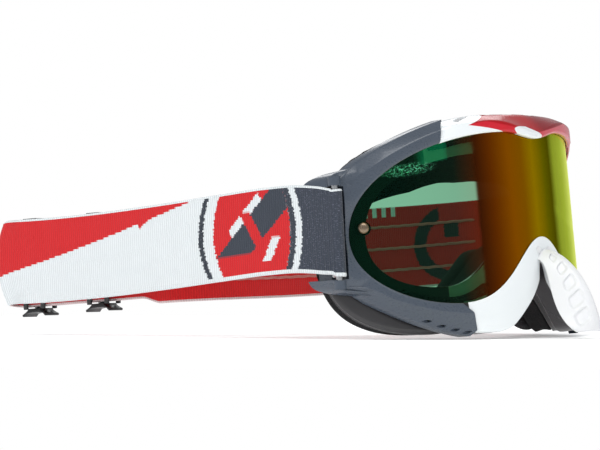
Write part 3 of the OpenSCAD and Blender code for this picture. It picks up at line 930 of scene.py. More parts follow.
def make_frame():
    u = stations(44)
    lens, rim = LENS.off(u), FRAME.off(u)
    rim_x = np.abs(rim[:, 0])
    # the rim dips at the nose and swells beside it
    rim = FRAME.off(u, (-1.0 + 4.2 * ease(rim_x, 0, 7)) * (1 - ease(rim_x, 24, 37))
                    * (rim[:, 1] < 0))
    lens_x = np.abs(lens[:, 0])
    brow = ease(lens[:, 1], 24, 38) * ease(-lens_x, -70, -56)
    brow_part = 0.20 + 0.42 * ease(lens_x, 1, 30) + 0.15 * ease(lens_x, 32, 50)
    crest = lerp_points(lens, rim, lerp(0.60, brow_part, brow))
    # the brow's front face stands proud between the two panels
    crest_proud = brow * (1 - ease(np.abs(crest[:, 0]), 47.5, 49.5))
    lip_proud = brow * (1 - ease(lens_x, 49.8, 50.9))
    # the bridge band under the lens is full, and thins where the panels lap over it
    nose = (1 - ease(lens[:, 1], -16, 6)) * (1 - ease(np.abs(rim[:, 0]), 38, 43))
    apex = nose * (1 - ease(lens_x, 5, 24))
    crest_y = (shield_y(crest[:, 0]) + lerp(lerp(0.6, 0.1, brow), -0.5, nose)
               - 2.1 * crest_proud - 1.5 * apex)
    rim_y = shield_y(rim[:, 0]) + lerp(lerp(3.4, 5.6, brow), 0.0, nose) - 1.8 * apex
    bulge = lerp(lerp(0.5, 0.56, brow), 0.25, nose)
    lip, groove, seat, inner = (LENS.off(u, d) for d in (0.7, 1.55, -0.6, -8))
    seat_y = np.maximum(back_y(seat[:, 0]) - BACK_WALL, shield_y(seat[:, 0], SEAT_RADIUS) + 0.3)
    corners = np.stack([
        lay(lens, shield_y, off=0.25 - 1.5 * lip_proud),
        lay(lip, shield_y, off=-2.0 * lip_proud),
        at_depth(crest, crest_y),
        at_depth(lerp_points(crest, rim, 0.62), lerp(crest_y, rim_y, bulge)),
        at_depth(rim, rim_y),
        lay(rim, back_y),
        lay(inner, back_y),
        lay(inner, back_y, off=-BACK_WALL),
        at_depth(seat, seat_y),
        lay(seat, shield_y, SEAT_RADIUS),
        lay(groove, shield_y, SEAT_RADIUS),
        lay(groove, shield_y, GROOVE_RADIUS),
        lay(lens, shield_y, GROOVE_RADIUS),
    ], 1)
    radii = [0.2, 0.4, lerp(2.6, 0.7, crest_proud)[:, None], 3.0, lerp(3.2, 1.3, nose)[:, None],
             0.8, 0.7, 0.6, 0.5, 0.2, 0.05, 0.05, 0.1]
    ob = build("frame_shell", to_row(rounded(corners, radii, 3)), closed=True)
    # six rounded pockets along the brow, then the two pin holes at the nose
    tools = []
    for i in range(6):
        x = (i - 2.5) * POCKET_PITCH
        y = -84.6 + 0.0035 * x * x
        tools.append(box("t", (x - POCKET_HALF, y, 38), (x + POCKET_HALF, y + POCKET_DEPTH, 58),
                         to_row, radius=1.1))
    tools += [rod(1.55, 11, pin_place(side, -95), 24) for side in (-1, 1)]
    combine(ob, tools)
    shade(ob, 32)
    present(ob, [FRAME_WHITE], "goggle", "white_gloss", "frame")


# ---------------------------------------------------------------- side panels
EAR_X, EAR_HALF = 87.2, 28  # the rim is squared out to EAR_X over this half height


def toward(start, end, distance, limit):
    """Points moved from start towards end, by at most a part of the way."""
    gap = np.linalg.norm(end - start, axis=-1)
    return lerp_points(start, end, np.minimum(distance / np.maximum(gap, 1e-6), limit))


def offset_lane(outline, distance):
    return lambda u: outline.off(u, distance)


def panel_rim(u):
    points = PANEL.off(u)
    height = np.abs(points[..., 1] - BAR_Z) / EAR_HALF
    squared = EAR_X * np.power(np.clip(1 - height ** 10, 0, 1), 0.1)
    x = np.maximum(np.abs(points[..., 0]), np.where(height < 1, squared, 0))
    return np.stack([-x, points[..., 1]], -1)


def panel_crest(u):
    return toward(LENS.off(u), panel_rim(u), 5.4, 0.62)


def panel_bevel(u):
    return toward(panel_rim(u), panel_crest(u), 3.0, 0.5)


def panel_underside(u):
    return lerp_points(LENS.off(u), FRAME.off(u), 0.62)


def on_shield(points):
    return shield_y(points[:, 0])


def on_wing(points):
    return wing_y(points[:, 0])


def on_panel_back(points):
    """Back edge of the side wall: deep beside the strap, shallow above and below it."""
    deep = 1 - ease(np.abs(points[:, 1] - 6), 25, 33)
    full = back_y(points[:, 0]) - 1.5
    wing = on_wing(points)
    return np.maximum(np.minimum(full, lerp(wing + 8.5, full, deep)), wing + 4.4)


# Section corners from the lens edge out to the rim and back behind the frame:
# lane, depth surface, offset from it, offset at the ear, x of lower end, x of upper end
PANEL_LANES = [
    (offset_lane(LENS, 0.1), on_shield, -0.15, -0.15, -47.5, -50.9),
    (offset_lane(LENS, 0.1), on_shield, -0.9, -0.9, -47.6, -50.9),
    (offset_lane(LENS, 0.9), on_shield, -1.5, -1.5, -47.4, -50.9),
    (panel_crest, on_wing, -2.0, -1.35, -44.0, -50.6),
    (panel_bevel, on_wing, 0.6, -0.2, -41.4, -48.8),
    (panel_rim, on_wing, 3.3, 0.9, -42.6, -46.0),
    (panel_rim, on_panel_back, 0.0, 0.0, -43.4, -46.4),
    (offset_lane(FRAME, 0.15), on_panel_back, 0.0, 0.0, -43.4, -46.8),
    (offset_lane(FRAME, 0.15), on_shield, 3.25, 3.25, -42.6, -47.5),
    (panel_underside, on_shield, 0.55, 0.55, -42.6, -49.8),
]
PANEL_RADII = [0.1, 0.35, 0.8, 0.6, 0.8, 0.7, 0.4, 0.2, 0.3, 0.5]


def u_at(lane, x, below, above):
    """u where a lane crosses x, by bisection between ends lying below and above x."""
    for _ in range(40):
        middle = (below + above) / 2
        if lane(np.array([middle]))[0, 0] < x:
            below = middle
        else:
            above = middle
    return (below + above) / 2


def bar_place(z_shift):
    """Stand a turned shape on the -x anchor bar's axis."""
    return lambda points: strap_to_row(points + np.array([-BAR_X, 0, z_shift]))


def notch(index):
    """Small skewed block that cuts one grip notch in the lower bevel near the front end."""
    u = np.array([1.12 + 0.075 * index])
    bevel, rim = panel_bevel(u)[0], panel_rim(u)[0]
    centre_x, centre_z = lerp(bevel, rim, 0.45)
    centre_y = float(wing_y(bevel[0])) + 1.9

    def place(points):
        x, y, z = split(points)
        skewed = [centre_x + x + z * 0.55, centre_y + y + x * -0.62, centre_z + z]
        return to_row(np.stack(skewed, -1))

    return box("t", (-1.4, -1.6, -0.55), (1.4, 0.55, 0.55), place, radius=0.2, segments=2)


def make_panel(name, node, mirrored):
    """Built on -x, then mirrored for the other side."""
    corners = []
    for lane, surface, offset, ear_offset, lower_x, upper_x in PANEL_LANES:
        upper_u = u_at(lane, upper_x, 1.6, 3.2)
        lower_u = u_at(lane, lower_x, 1.6, 0.6)
        points = lane(lerp(lower_u, upper_u, np.linspace(0, 1, 300)))
        ear = ((1 - ease(np.abs(points[:, 1] - BAR_Z), 24, 31))
               * ease(np.abs(points[:, 0]), 70, 78))
        corners.append(at_depth(points, surface(points) + lerp(offset, ear_offset, ear)))
    grid = rounded(np.stack(corners, 1), PANEL_RADII, 3)
    ob = build(name, to_row(grid), caps=True)
    bosses = [rod(2.9, 4, bar_place(end * 22.4 - 2), 40) for end in (-1, 1)]
    combine(ob, bosses, "UNION")
    # clearance for the strap round the bar, the slot behind it and the bar's own hole
    tools = [
        rod(4.1, 40, bar_place(-20), 48),
        box("t", (-124.25, -3, -20), (-84.25, 77, 20), strap_to_row),
        rod(1.55, 46, bar_place(-23), 24),
    ]
    tools += [notch(k) for k in range(4)]
    combine(ob, tools)
    if mirrored:
        set_points(ob.data, get_points(ob.data) * (-1, 1, 1))
        ob.data.flip_normals()
    tidy(ob)
    shade(ob, 30)
    present(ob, [PANEL_GREY], "goggle", "panel_grey", node)


# ---------------------------------------------------------------- lens
LENS_OUTER, LENS_INSIDE = 89.55, 88.35  # radii of its two faces
LENS_RIM = 1.15  # how far it reaches into the groove
LENS_RINGS = 30


def lens_faces(count, rings):
    """Faces and material slots: rings of quads, the rim, then a strip down each half."""
    faces, slots = [], []
    inner = count * rings
    for i in range(count):
        here, there = i * rings, (i + 1) % count * rings
        for j in range(rings - 1):
            outer_quad = (here + j, there + j, there + j + 1, here + j + 1)
            first, *others = (inner + v for v in outer_quad)
            faces += [outer_quad, (first, *others[::-1])]
            slots += [0, 1]
        faces.append((here, inner + here, inner + there, there))
        slots.append(1)
    # the innermost ring is closed by pairing its lower and upper points on each side
    half = count // 2
    for a in range(half // 2):
        for corners in ((a, a + 1, half - a - 1, half - a),
                        ((count - a) % count, count - a - 1, half + a + 1, half + a)):
            for base, slot in ((0, 0), (inner, 1)):
                faces.append(tuple(dict.fromkeys(base + c * rings + rings - 1 for c in corners)))
                slots.append(slot)
    return faces, slots


def set_cylinder_normals(mesh):
    """Exact cylinder normals keep the mirror image clean; the thin rim keeps its own."""
    row = get_points(mesh) * 1000
    x = row[:, 0]
    y = (row[:, 1] - SHIFT_Y) * LEAN_COS - (row[:, 2] - SHIFT_Z) * LEAN_SIN
    normals = tilt(np.stack([x, y, np.zeros_like(x)], -1), LEAN)
    normals /= np.linalg.norm(normals, axis=-1, keepdims=True)
    normals[np.hypot(x, y) < (LENS_OUTER + LENS_INSIDE) / 2] *= -1
    wanted = normals[loop_vertices(mesh)]
    present_normals = np.zeros(len(mesh.loops) * 3, np.float32)
    mesh.corner_normals.foreach_get("vector", present_normals)
    present_normals = present_normals.reshape(-1, 3)
    keep = (wanted * present_normals).sum(-1) < 0.8
    wanted[keep] = present_normals[keep]
    mesh.normals_split_custom_set(wanted.tolist())


def make_lens():
    u = stations(48)
    rim = LENS.off(u, LENS_RIM)
    # rings shrink from the rim to a low arched core line
    core_x = rim[:, 0] * 0.72
    core_z = 8 - 1.8 * (core_x / 60) ** 2 + 4 * np.cos(core_x / 25)
    core = np.stack([core_x, lerp(core_z, rim[:, 1], 0.10)], -1)
    part = np.linspace(1, 0, LENS_RINGS) ** 0.9
    flat = core[:, None] + (rim - core)[:, None] * part[None, :, None]
    x = flat[..., 0]
    points = np.concatenate([at_depth(flat, -np.sqrt(r * r - x * x)).reshape(-1, 3)
                             for r in (LENS_OUTER, LENS_INSIDE)])
    faces, slots = lens_faces(len(u), LENS_RINGS)
    mesh = bpy.data.meshes.new("lens_shield")
    mesh.from_pydata(to_row(points).tolist(), [], faces)
    mesh.polygons.foreach_set("material_index", np.array(slots, np.int32))
    add_uv(mesh, "mm", points[:, [0, 2]])
    ob = link_object("lens_shield", mesh)
    tidy(ob)
    shade(ob, 40)
    set_cylinder_normals(ob.data)
    present(ob, [MIRROR_FILM, LENS_INNER], "goggle", "mirror_lens", "lens")


# ---------------------------------------------------------------- tear-off posts
POST_ANGLE, POST_Z, POST_FOOT_RADIUS = 57, 8.2, 90
# (radius, height) from the domed head over the neck and foot to the end of the shank
POST_PROFILE = [
    (0, 2.32), (0.9, 2.28), (1.6, 2.12), (2.1, 1.85), (2.3, 1.55), (2.3, 1.25), (2.15, 1.05),
    (1.55, 0.95), (1.46, 0.75), (1.5, 0.45), (2.15, 0.34), (2.3, 0.2), (2.3, -0.2), (1.2, -0.2),
    (1.2, -3.7), (1.05, -3.9), (0, -3.9),
]


def make_post(sign, side):
    angle = math.radians(sign * POST_ANGLE)
    out = np.array([math.sin(angle), -math.cos(angle), 0.0])
    along = np.array([math.cos(angle), math.sin(angle), 0.0])

    def place(points):
        return to_row(np.array([0, 0, POST_Z]) + points[..., 0:1] * along
                      + points[..., 1:2] * np.array([0, 0, 1.0])
                      + (points[..., 2:3] + POST_FOOT_RADIUS) * out)

    ob = lathe("post_" + side, POST_PROFILE, place, 56)
    combine(ob, [box("t", (-3, -0.3, 1.75), (3, 0.3, 3), place)])  # slot across the head
    tidy(ob)
    shade(ob, 38)
    present(ob, [POST_METAL], "goggle", "post_metal", "tear_off_post_" + side)


# ---------------------------------------------------------------- nose guard
# Bezier points (y, z) from the goggle down to the tip
GUARD_RIDGE = ([-90.8, -5.7], [-103.5, -7.5], [-116, -26], [-115, -43.8])
GUARD_EDGE = ([-90.2, -10.1], [-99.5, -12], [-94.0, -34], [-110.5, -44])
GUARD_ROWS, GUARD_COLUMNS = 150, 101
PIN_PROFILE = [(0, 2.6), (1.5, 2.6), (1.5, 8.6), (1.1, 9), (0, 9)]  # (radius, height)


def guard_cells(down, across):
    """Depth 0..1 of five recessed cells on each wall, larger towards the tip."""
    depth = np.zeros((GUARD_ROWS, GUARD_COLUMNS))
    out = np.abs(across)
    for side in (-1, 1):
        for k in range(5):
            centre_down, half_down = 0.20 + 0.165 * k, 0.052 + 0.004 * k
            centre_out, half_out = 0.50 + 0.01 * k, 0.17 + 0.022 * k
            slant = 0.05 * (out[None, :] - centre_out) * 2
            cell_down = (down[:, None] - centre_down - slant) / half_down
            cell_out = (side * across[None, :] - centre_out) / half_out
            reach = (np.abs(cell_down) ** 4 + np.abs(cell_out) ** 4) ** 0.25
            depth = np.maximum(depth, 1 - ease(reach, 0.72, 1.05))
    return depth


def make_guard():
    down = np.linspace(0, 1, GUARD_ROWS)
    across = np.linspace(-1, 1, GUARD_COLUMNS)
    out = np.abs(across)
    ridge, edge = bezier(*GUARD_RIDGE, down), bezier(*GUARD_EDGE, down)
    half_width = lerp(5.6, 11, down ** 0.95)
    # each row is a quadratic from the ridge out to the edge, through a point near the ridge
    control = 2 * lerp_points(ridge, edge, 0.28) - 0.5 * (ridge + edge)
    depth_height = (((1 - out) ** 2)[None, :, None] * ridge[:, None]
                    + (2 * out * (1 - out))[None, :, None] * control[:, None]
                    + (out ** 2)[None, :, None] * edge[:, None])
    outer = np.concatenate([(half_width[:, None] * across[None, :])[..., None], depth_height], -1)
    inner = outer.copy()
    inner[..., 0] *= (1 - 2.0 / half_width)[:, None]
    inner[..., 1] += lerp(2.0, 0.35, out ** 3)[None, :]
    outer = outer + (inner - outer) * (guard_cells(down, across) * 0.55)[..., None]
    grid = np.concatenate([outer, inner[:, ::-1]], 1)
    shell = build("nose_guard_shell", to_row(grid), caps=True)
    pins = [lathe("pin", PIN_PROFILE, pin_place(side, -93.2), 28) for side in (-1, 1)]
    ob = join("nose_guard_shell", [shell] + pins)
    shade(ob, 34)
    present(ob, [GUARD_WHITE], "guard", "guard_white", "nose_guard")


# ---------------------------------------------------------------- cushion
def hang_brow(points, drop=11.0):
    """The cushion's inner edge hangs lower along the brow."""
    hung = points.copy()
    hung[:, 1] -= drop * np.clip((points[:, 1] - 16.0) / 18.0, 0, 1)
    return hung


def make_flange():
    u = stations(40)
    outer, shoulder, waist, inner = (CUSHION.off(u, d) for d in (0.0, -1.4, -0.25, -12))
    corners = np.stack([
        lay(shoulder, layer_y, 0, off=0.24), lay(outer, layer_y, 0.055),
        lay(waist, layer_y, 0.13), lay(outer, layer_y, 0.2),
        lay(inner, layer_y, 0.2), lay(inner, layer_y, 0, off=0.24)], 1)
    grid = rounded(corners, [1.0, 1.2, 1.5, 0.5, 0.6, 0.6], 4)
    ob = build("face_flange_shell", to_row(grid), closed=True)
    shade(ob, 40)
    present(ob, [FLANGE_GREY], "goggle", "flange_grey", "face_flange")


def make_mid():
    u = stations(40)
    outer, outer_waist = CUSHION.off(u, -0.6), CUSHION.off(u, -1.5)
    inner, inner_waist = hang_brow(CUSHION.off(u, -13)), hang_brow(CUSHION.off(u, -12.2))
    corners = np.stack([
        lay(outer, layer_y, 0.226), lay(outer_waist, layer_y, 0.40), lay(outer, layer_y, 0.574),
        lay(inner, layer_y, 0.574), lay(inner_waist, layer_y, 0.40),
        lay(inner, layer_y, 0.226)], 1)
    grid = rounded(corners, [0.9, 3, 0.9, 0.9, 3, 0.9], 3)
    # small unevenness of a cut foam edge
    k = np.arange(grid.shape[1])
    grid[..., 2] += (np.sin(u * 9.1)[:, None] * np.cos(k * 0.9)[None] * 0.10
                     + np.sin(u * 23.7 + 1.3)[:, None] * np.sin(k * 1.7)[None] * 0.06)
    ob = build("foam_mid_layer", to_row(grid), closed=True)
    shade(ob, 60)
    present(ob, [FOAM_BLACK], "goggle", "foam_black", "foam_mid")


PAD_INSET = 1.0  # the pad starts smaller and is swollen by pressure
PAD_SWELL = 0.0013  # most any point may move, m
CLOTH_FRAMES = 20


def lift_to_floor(mesh, points):
    points[:, 2] = np.maximum(points[:, 2], 0.0)
    set_points(mesh, points)


def inflate(ob):
    """Remesh the pad and swell it with a short pressurised cloth simulation."""
    select_only(ob)
    ob.data.remesh_voxel_size = 0.0034
    bpy.ops.object.voxel_remesh()
    before = get_points(ob.data)
    cloth = ob.modifiers.new("cloth", "CLOTH")
    settings = cloth.settings
    settings.quality = 5
    settings.mass = 0.2
    settings.use_pressure = True
    settings.uniform_pressure_force = 4.0
    settings.tension_stiffness = settings.compression_stiffness = 18
    settings.shear_stiffness = 8
    settings.bending_stiffness = 1.5
    settings.effector_weights.gravity = 0.0
    cloth.collision_settings.use_collision = False
    cloth.point_cache.frame_start, cloth.point_cache.frame_end = 1, CLOTH_FRAMES
    SCENE.frame_start, SCENE.frame_end = 1, CLOTH_FRAMES
    for number in range(1, CLOTH_FRAMES + 1):
        SCENE.frame_set(number)
    depsgraph = bpy.context.evaluated_depsgraph_get()
    after = get_points(ob.evaluated_get(depsgraph).data)
    ob.modifiers.clear()
    SCENE.frame_set(1)
    # a simulation that blew up is left out
    if after.shape == before.shape and np.isfinite(after).all():
        move = after - before
        length = np.linalg.norm(move, axis=-1, keepdims=True)
        move *= np.minimum(1, PAD_SWELL / np.maximum(length, 1e-9))
        lift_to_floor(ob.data, before + move)


def make_face():
    u = stations(30)
    outer = CUSHION.off(u, -0.2 - PAD_INSET)
    inner = hang_brow(CUSHION.off(u, -13 + PAD_INSET))
    outer_top, inner_top = CUSHION.off(u, -3.4), hang_brow(CUSHION.off(u, -9.8), 9.0)
    corners = np.stack([
        lay(outer, layer_y, 0.60, off=0.25), lay(outer, layer_y, 1.0, off=-4.2),
        lay(outer_top, layer_y, 1.0, off=-PAD_INSET), lay(inner_top, layer_y, 1.0, off=-PAD_INSET),
        lay(inner, layer_y, 1.0, off=-3.6), lay(inner, layer_y, 0.60, off=0.25)], 1)
    grid = to_row(rounded(corners, [1.0, 3.5, 3.5, 3.5, 3.0, 1.0], 3)[:, ::2])
    grid[..., 2] = np.maximum(grid[..., 2], 0.0004)
    ob = build("foam_face_pad", grid, closed=True)
    inflate(ob)
    smooth = ob.modifiers.new("s", "SMOOTH")
    smooth.factor, smooth.iterations = 0.5, 4
    subdivide = ob.modifiers.new("sub", "SUBSURF")
    subdivide.levels = subdivide.render_levels = 1
    bpy.context.view_layer.update()
    bake(ob)
    lift_to_floor(ob.data, get_points(ob.data))
    shade(ob, 80)
    present(ob, [FLEECE_BLACK], "goggle", "fleece_black", "foam_face")


# ---------------------------------------------------------------- strap
OUTER_LANE = 86.85  # |x| of both straps where they leave the bars
RETURN_LANE, RIGHT_LANE = 79.45, 75.65  # -x of the folded end and of the right strap's end
REAR_Z = -2.2
EYE_RADIUS = 2.35  # loop round the anchor bar
FOLD_Y, FOLD_RADIUS = 186.0, (OUTER_LANE - RETURN_LANE) / 2
BAND_HALF, BAND_THICK = 19.0, 0.8  # half width and half thickness
BAND_STEP = 0.55
PRINT_START = 11.7  # path length at which the print's distance is zero
# (y, z) heights of the left strap's run
LEFT_HEIGHTS = [(-3, 0), (6, 1.5), (20, 3.1), (35, 3.2), (60, 2.1), (90, 0.6), (130, -0.8),
                (160, -1.0), (183, -0.6), (190, -0.6)]


def resample(path, step):
    """Even points along a path, and their distances."""
    lengths = np.linalg.norm(np.diff(path, axis=0), axis=1)
    distance = np.concatenate([[0], np.cumsum(lengths)])
    even = np.linspace(0, distance[-1], int(distance[-1] / step))
    return np.stack([np.interp(even, distance, path[:, i]) for i in range(3)], -1), even


def spline(stations_xy, x):
    """Smooth cubic curve through a few (x, y) stations."""
    xs, ys = np.array(stations_xy, float).T
    slope = np.gradient(ys, xs)
    k = np.clip(np.searchsorted(xs, x) - 1, 0, len(xs) - 2)
    h = xs[k + 1] - xs[k]
    t = np.clip((x - xs[k]) / h, 0, 1)
    return ((2 * t ** 3 - 3 * t ** 2 + 1) * ys[k] + (t ** 3 - 2 * t ** 2 + t) * h * slope[k]
            + (-2 * t ** 3 + 3 * t ** 2) * ys[k + 1] + (t ** 3 - t ** 2) * h * slope[k + 1])


def eye_loop(bar_x, start, end):
    angle = np.radians(np.linspace(start, end, 60))
    return np.stack([bar_x + EYE_RADIUS * np.cos(angle), EYE_RADIUS * np.sin(angle),
                     np.zeros(60)], -1)


def straight(x, y_start, y_end, count, z=0.0):
    return np.stack([np.full(count, x), np.linspace(y_start, y_end, count), np.full(count, z)], -1)


def left_path():
    """Round the bar, back to the fold, and forward again inside."""
    run = straight(-OUTER_LANE, 0.5, FOLD_Y, 300)
    run[:, 2] = spline(LEFT_HEIGHTS, run[:, 1])
    angle = np.radians(np.linspace(6, 174, 40))
    fold = np.stack([-OUTER_LANE + FOLD_RADIUS - FOLD_RADIUS * np.cos(angle),
                     FOLD_Y + FOLD_RADIUS * np.sin(angle),
                     lerp(-0.6, REAR_Z, angle / math.pi)], -1)
    back = straight(-RETURN_LANE, 185.5, 133, 90, REAR_Z)
    return np.concatenate([eye_loop(-BAR_X, 105, -180), run, fold, back])


def right_path():
    """Round the bar, across behind the goggle in an S, and back along the left side."""
    t = np.linspace(0, 1, 260)
    flat = bezier([OUTER_LANE, 24], [OUTER_LANE, 74], [-RIGHT_LANE, 56], [-RIGHT_LANE, 104], t)
    drop = -5.2 * (ease(t, -0.12, 0.72) - ease(0, -0.12, 0.72))
    crossing = np.concatenate([flat, drop[:, None]], 1)
    end = straight(-RIGHT_LANE, 104.5, 183, 130)
    end[:, 2] = drop[-1] + (REAR_Z - drop[-1]) * ease(end[:, 1], 104, 115)
    return np.concatenate([eye_loop(BAR_X, 75, 360), straight(OUTER_LANE, 0.5, 23.0, 14),
                           crossing, end])


def path_normals(path):
    slope = np.gradient(path, axis=0)
    length = np.linalg.norm(slope[:, :2], axis=1, keepdims=True)
    return np.stack([-slope[:, 1], slope[:, 0]], -1) / np.maximum(length, 1e-9)


def sweep(path, normals, out, up):
    """Sections (M, L) given as out along the normal and up in z, carried along a path."""
    flat = path[:, None, :2] + normals[:, None] * out[..., None]
    return np.concatenate([flat, (path[:, None, 2] + up)[..., None]], -1)


def make_band(name, path, flip, folded, body, slot, node):
    """Webbing: closed section swept along the path, with ribbed faces and thick hems."""
    path, s = resample(path, BAND_STEP)
    s = s - PRINT_START
    normals = path_normals(path) * (-1 if flip else 1)
    # outer face bottom to top, round the hem, inner face top to bottom
    heights = np.linspace(-BAND_HALF + 0.5, BAND_HALF - 0.5, 58)
    arc = np.radians(np.linspace(0, 180, 7))[1:-1]
    hem_out = BAND_HALF - 0.5 + 0.5 * np.sin(arc)
    thick = np.full(58, BAND_THICK)
    z = np.concatenate([heights, hem_out, heights[::-1], -hem_out])
    n = np.concatenate([thick, BAND_THICK * np.cos(arc), -thick, -BAND_THICK * np.cos(arc)])
    side = np.sign(n)
    # thicker hems, cross ribs, puckers near the anchor bar and a slow waviness
    hem = ease(np.abs(z), 17.0, 18.2) * (1 - ease(np.abs(z), 18.6, 19))
    rib = np.sin(s * 2 * math.pi / RIB_PITCH)[:, None] * 0.05 * (np.abs(z) < 18.4)[None]
    near = np.exp(-((s - 4.0) / 7.5) ** 2)
    pucker = (np.sin(s * 2 * math.pi / 2.1)[:, None]
              * (0.6 + 0.4 * np.sin(z * 0.37 + 1.0))[None]) * 0.22 * near[:, None]
    wave = (np.sin(z * 0.21)[None] * np.sin(s * 0.045)[:, None] * 0.25
            * ease(s, 10, 30)[:, None])
    out = (n[None] * (1 + 0.10 * hem[None] / BAND_THICK)
           + side[None] * (rib + np.maximum(pucker, -0.1) * 0.8) + wave * 0.5)
    narrowed = z[None] * (1 - 0.018 * np.exp(-((s - 1.0) / 4.0) ** 2))[:, None]
    grid = sweep(path, normals, out, narrowed)
    if folded:
        # the fold's corners sit further forward than its middle
        part = ease(path[:, 1], FOLD_Y - 14, FOLD_Y)
        grid[..., 1] -= (5.2 * (np.abs(z)[None] / BAND_HALF) ** 2.2) * part[:, None]
    shape = grid.shape[:2]

    def per_point(first, second):
        return np.stack([np.broadcast_to(first, shape), np.broadcast_to(second, shape)], -1)

    ob = build(name, strap_to_row(grid), caps=True,
               uv_maps={"mm": per_point(s[:, None], z), "aux": per_point(side, np.abs(z))})
    shade(ob, 50)
    present(ob, [WEBBING], body, slot, node)
    return path, s, normals


def make_beads(name, band, s_start, s_end, body, node):
    """Three thin silicone beads on the inner face, tapered at both ends."""
    path, s, normals = band
    here = (s > s_start) & (s < s_end)
    path, normals, s = path[here], normals[here], s[here]
    angle = np.radians(np.linspace(0, 180, 7))
    half = 0.62
    loop_z = np.concatenate([half * np.cos(angle), [-half, half]])
    loop_h = np.concatenate([0.40 * np.sin(angle), [-0.1, -0.1]])
    end = np.minimum(1, np.minimum(s - s[0], s[-1] - s) / 1.2)[:, None] ** 0.5
    beads = []
    for k, centre in enumerate((-10, 0, 10)):
        wiggle = 0.10 * np.sin(s * 0.9 + k * 2.0)[:, None]
        out = -(0.87 + loop_h[None] * (0.25 + 0.75 * end))
        up = centre + loop_z[None] * (0.3 + 0.7 * end) + wiggle
        beads.append(build("g", strap_to_row(sweep(path, normals, out, up)), caps=True))
    ob = join(name, beads)
    shade(ob, 50)
    present(ob, [SILICONE], body, "silicone", node)


def make_straps():
    near = make_band("strap_near", left_path(), False, True,
                     "strap_l", "webbing_white", "strap_left")
    make_beads("grip_near", near, 46, 160, "strap_l", "strap_grip_left")
    far = make_band("strap_far", right_path(), True, False,
                    "strap_r", "webbing_red", "strap_right")
    make_beads("grip_far", far, 42, 196, "strap_r", "strap_grip_right")


def make_adjuster(name, node, centre_y, body):
    """Two rails across the straps, joined by four corner bars and one between the straps."""
    x_start = -RETURN_LANE - BAND_THICK - 1.7
    x_end = -RIGHT_LANE + BAND_THICK + 2.2

    def place(points):
        return strap_to_row(points + np.array([0, centre_y, REAR_Z]))

    # lower rail: waisted, with two splayed feet and an arched underside; (y, height)
    t = np.linspace(0, 1, 9)
    flank = list(zip(lerp(3.4, 7.0, t ** 2.2), lerp(19.75, 22.3, t ** 1.3)))
    arch = list(zip(np.linspace(6.2, -6.2, 11), 22.35 - 0.85 * (1 - np.linspace(1, -1, 11) ** 2)))
    profile = (flank + [(6.9, 23.2), (6.1, 23.3)] + arch[1:-1] + [(-6.1, 23.3), (-6.9, 23.2)]
               + [(-y, height) for y, height in flank[::-1]])
    upper = [(3.0, 19.75), (3.9, 20.0), (4.1, 20.5), (3.6, 20.95),
             (-3.6, 20.95), (-4.1, 20.5), (-3.9, 20.0), (-3.0, 19.75)]
    pieces = [extrude("r", [(y, -height) for y, height in profile], x_start, x_end, place, 0.22),
              extrude("r", upper, x_start, x_end, place, 0.12)]
    middle = -(RETURN_LANE + RIGHT_LANE) / 2
    bars = [(x, x + 1.2, y, y + 2.4) for x in (x_start, x_end - 1.2) for y in (-6.2, 3.8)]
    bars.append((middle - 0.75, middle + 0.25, -1.6, 1.6))
    for x_low, x_high, y_low, y_high in bars:
        pieces.append(box("b", (x_low, y_low, -20.1), (x_high, y_high, 20.1), place, radius=0.42))
    ob = join(name, pieces)
    shade(ob, 36)
    present(ob, [BUCKLE_BLACK], body, "buckle_black", node)


def finish_cad_node(name, material, radius):
    """Pieces kept from the CAD get a material and softened edges."""
    ob = frame["nodes"][name]
    slots = ob.data.materials
    if len(slots) == 0:
        slots.append(material)
    for k in range(len(slots)):
        slots[k] = material
    soft = ob.modifiers.new("soft", "BEVEL")
    soft.width, soft.segments = radius, 2
    soft.limit_method, soft.angle_limit = "ANGLE", math.radians(40)


make_frame()
make_panel("panel_near", "side_panel_left", mirrored=False)
make_panel("panel_far", "side_panel_right", mirrored=True)
make_lens()
make_post(-1, "left")
make_post(1, "right")
make_guard()
make_flange()
make_mid()
make_face()
make_straps()
make_adjuster("adjuster_back", "adjuster_rear", 173.0, "slider")
make_adjuster("adjuster_fore", "adjuster_front", 136.0, "strap_l")
for kind, ends, cad_material, edge_radius in (
        ("anchor_bar_", ("left", "right"), BAR_STEEL, 0.0003),
        ("post_washer_", ("left", "right"), WASHER_BLACK, 0.00015),
        ("vent_foam_", ("brow", "left", "right"), VENT_FOAM, 0.0003)):
    for which in ends:
        finish_cad_node(kind + which, cad_material, edge_radius)


# ---------------------------------------------------------------- stage
def floor_look():
    """Pale floor that fades into plain white between 0.20 and 0.55 m from the goggle."""
    look = new_look("floor_pale")
    cloud = look.noise(look.coords(), scale=3, detail=2)
    pale = look.make("BsdfPrincipled", **{
        "Base Color": look.mix(cloud, srgb(246, 247, 247), srgb(250, 250, 250)),
        "Roughness": 0.7,
        "Specular IOR Level": 0.15,
        "Emission Color": (1, 1, 1),
        "Emission Strength": 0.30,
    })
    split_node = look.node("SeparateXYZ")
    look.put(split_node.inputs[0], look.coords())
    x = Value(look, split_node.outputs[0])
    y = Value(look, split_node.outputs[1]) - 0.02
    far = ((x * x + y * y).pow(0.5) - 0.20).op("DIVIDE", 0.35, clamp=True)
    fade = far * far * (3.0 - 2.0 * far)
    return look.show(look.make("MixShader", fade, pale, look.make("Emission")))


def make_floor(radius=12, z=-0.0002, count=96):
    mesh = bpy.data.meshes.new("floor")
    angles = np.linspace(0, 2 * math.pi, count, endpoint=False)
    rim = [(radius * math.cos(a), radius * math.sin(a), z) for a in angles]
    mesh.from_pydata(rim, [], [list(range(count))])
    floor = link_object("floor", mesh)
    mesh.materials.append(floor_look())


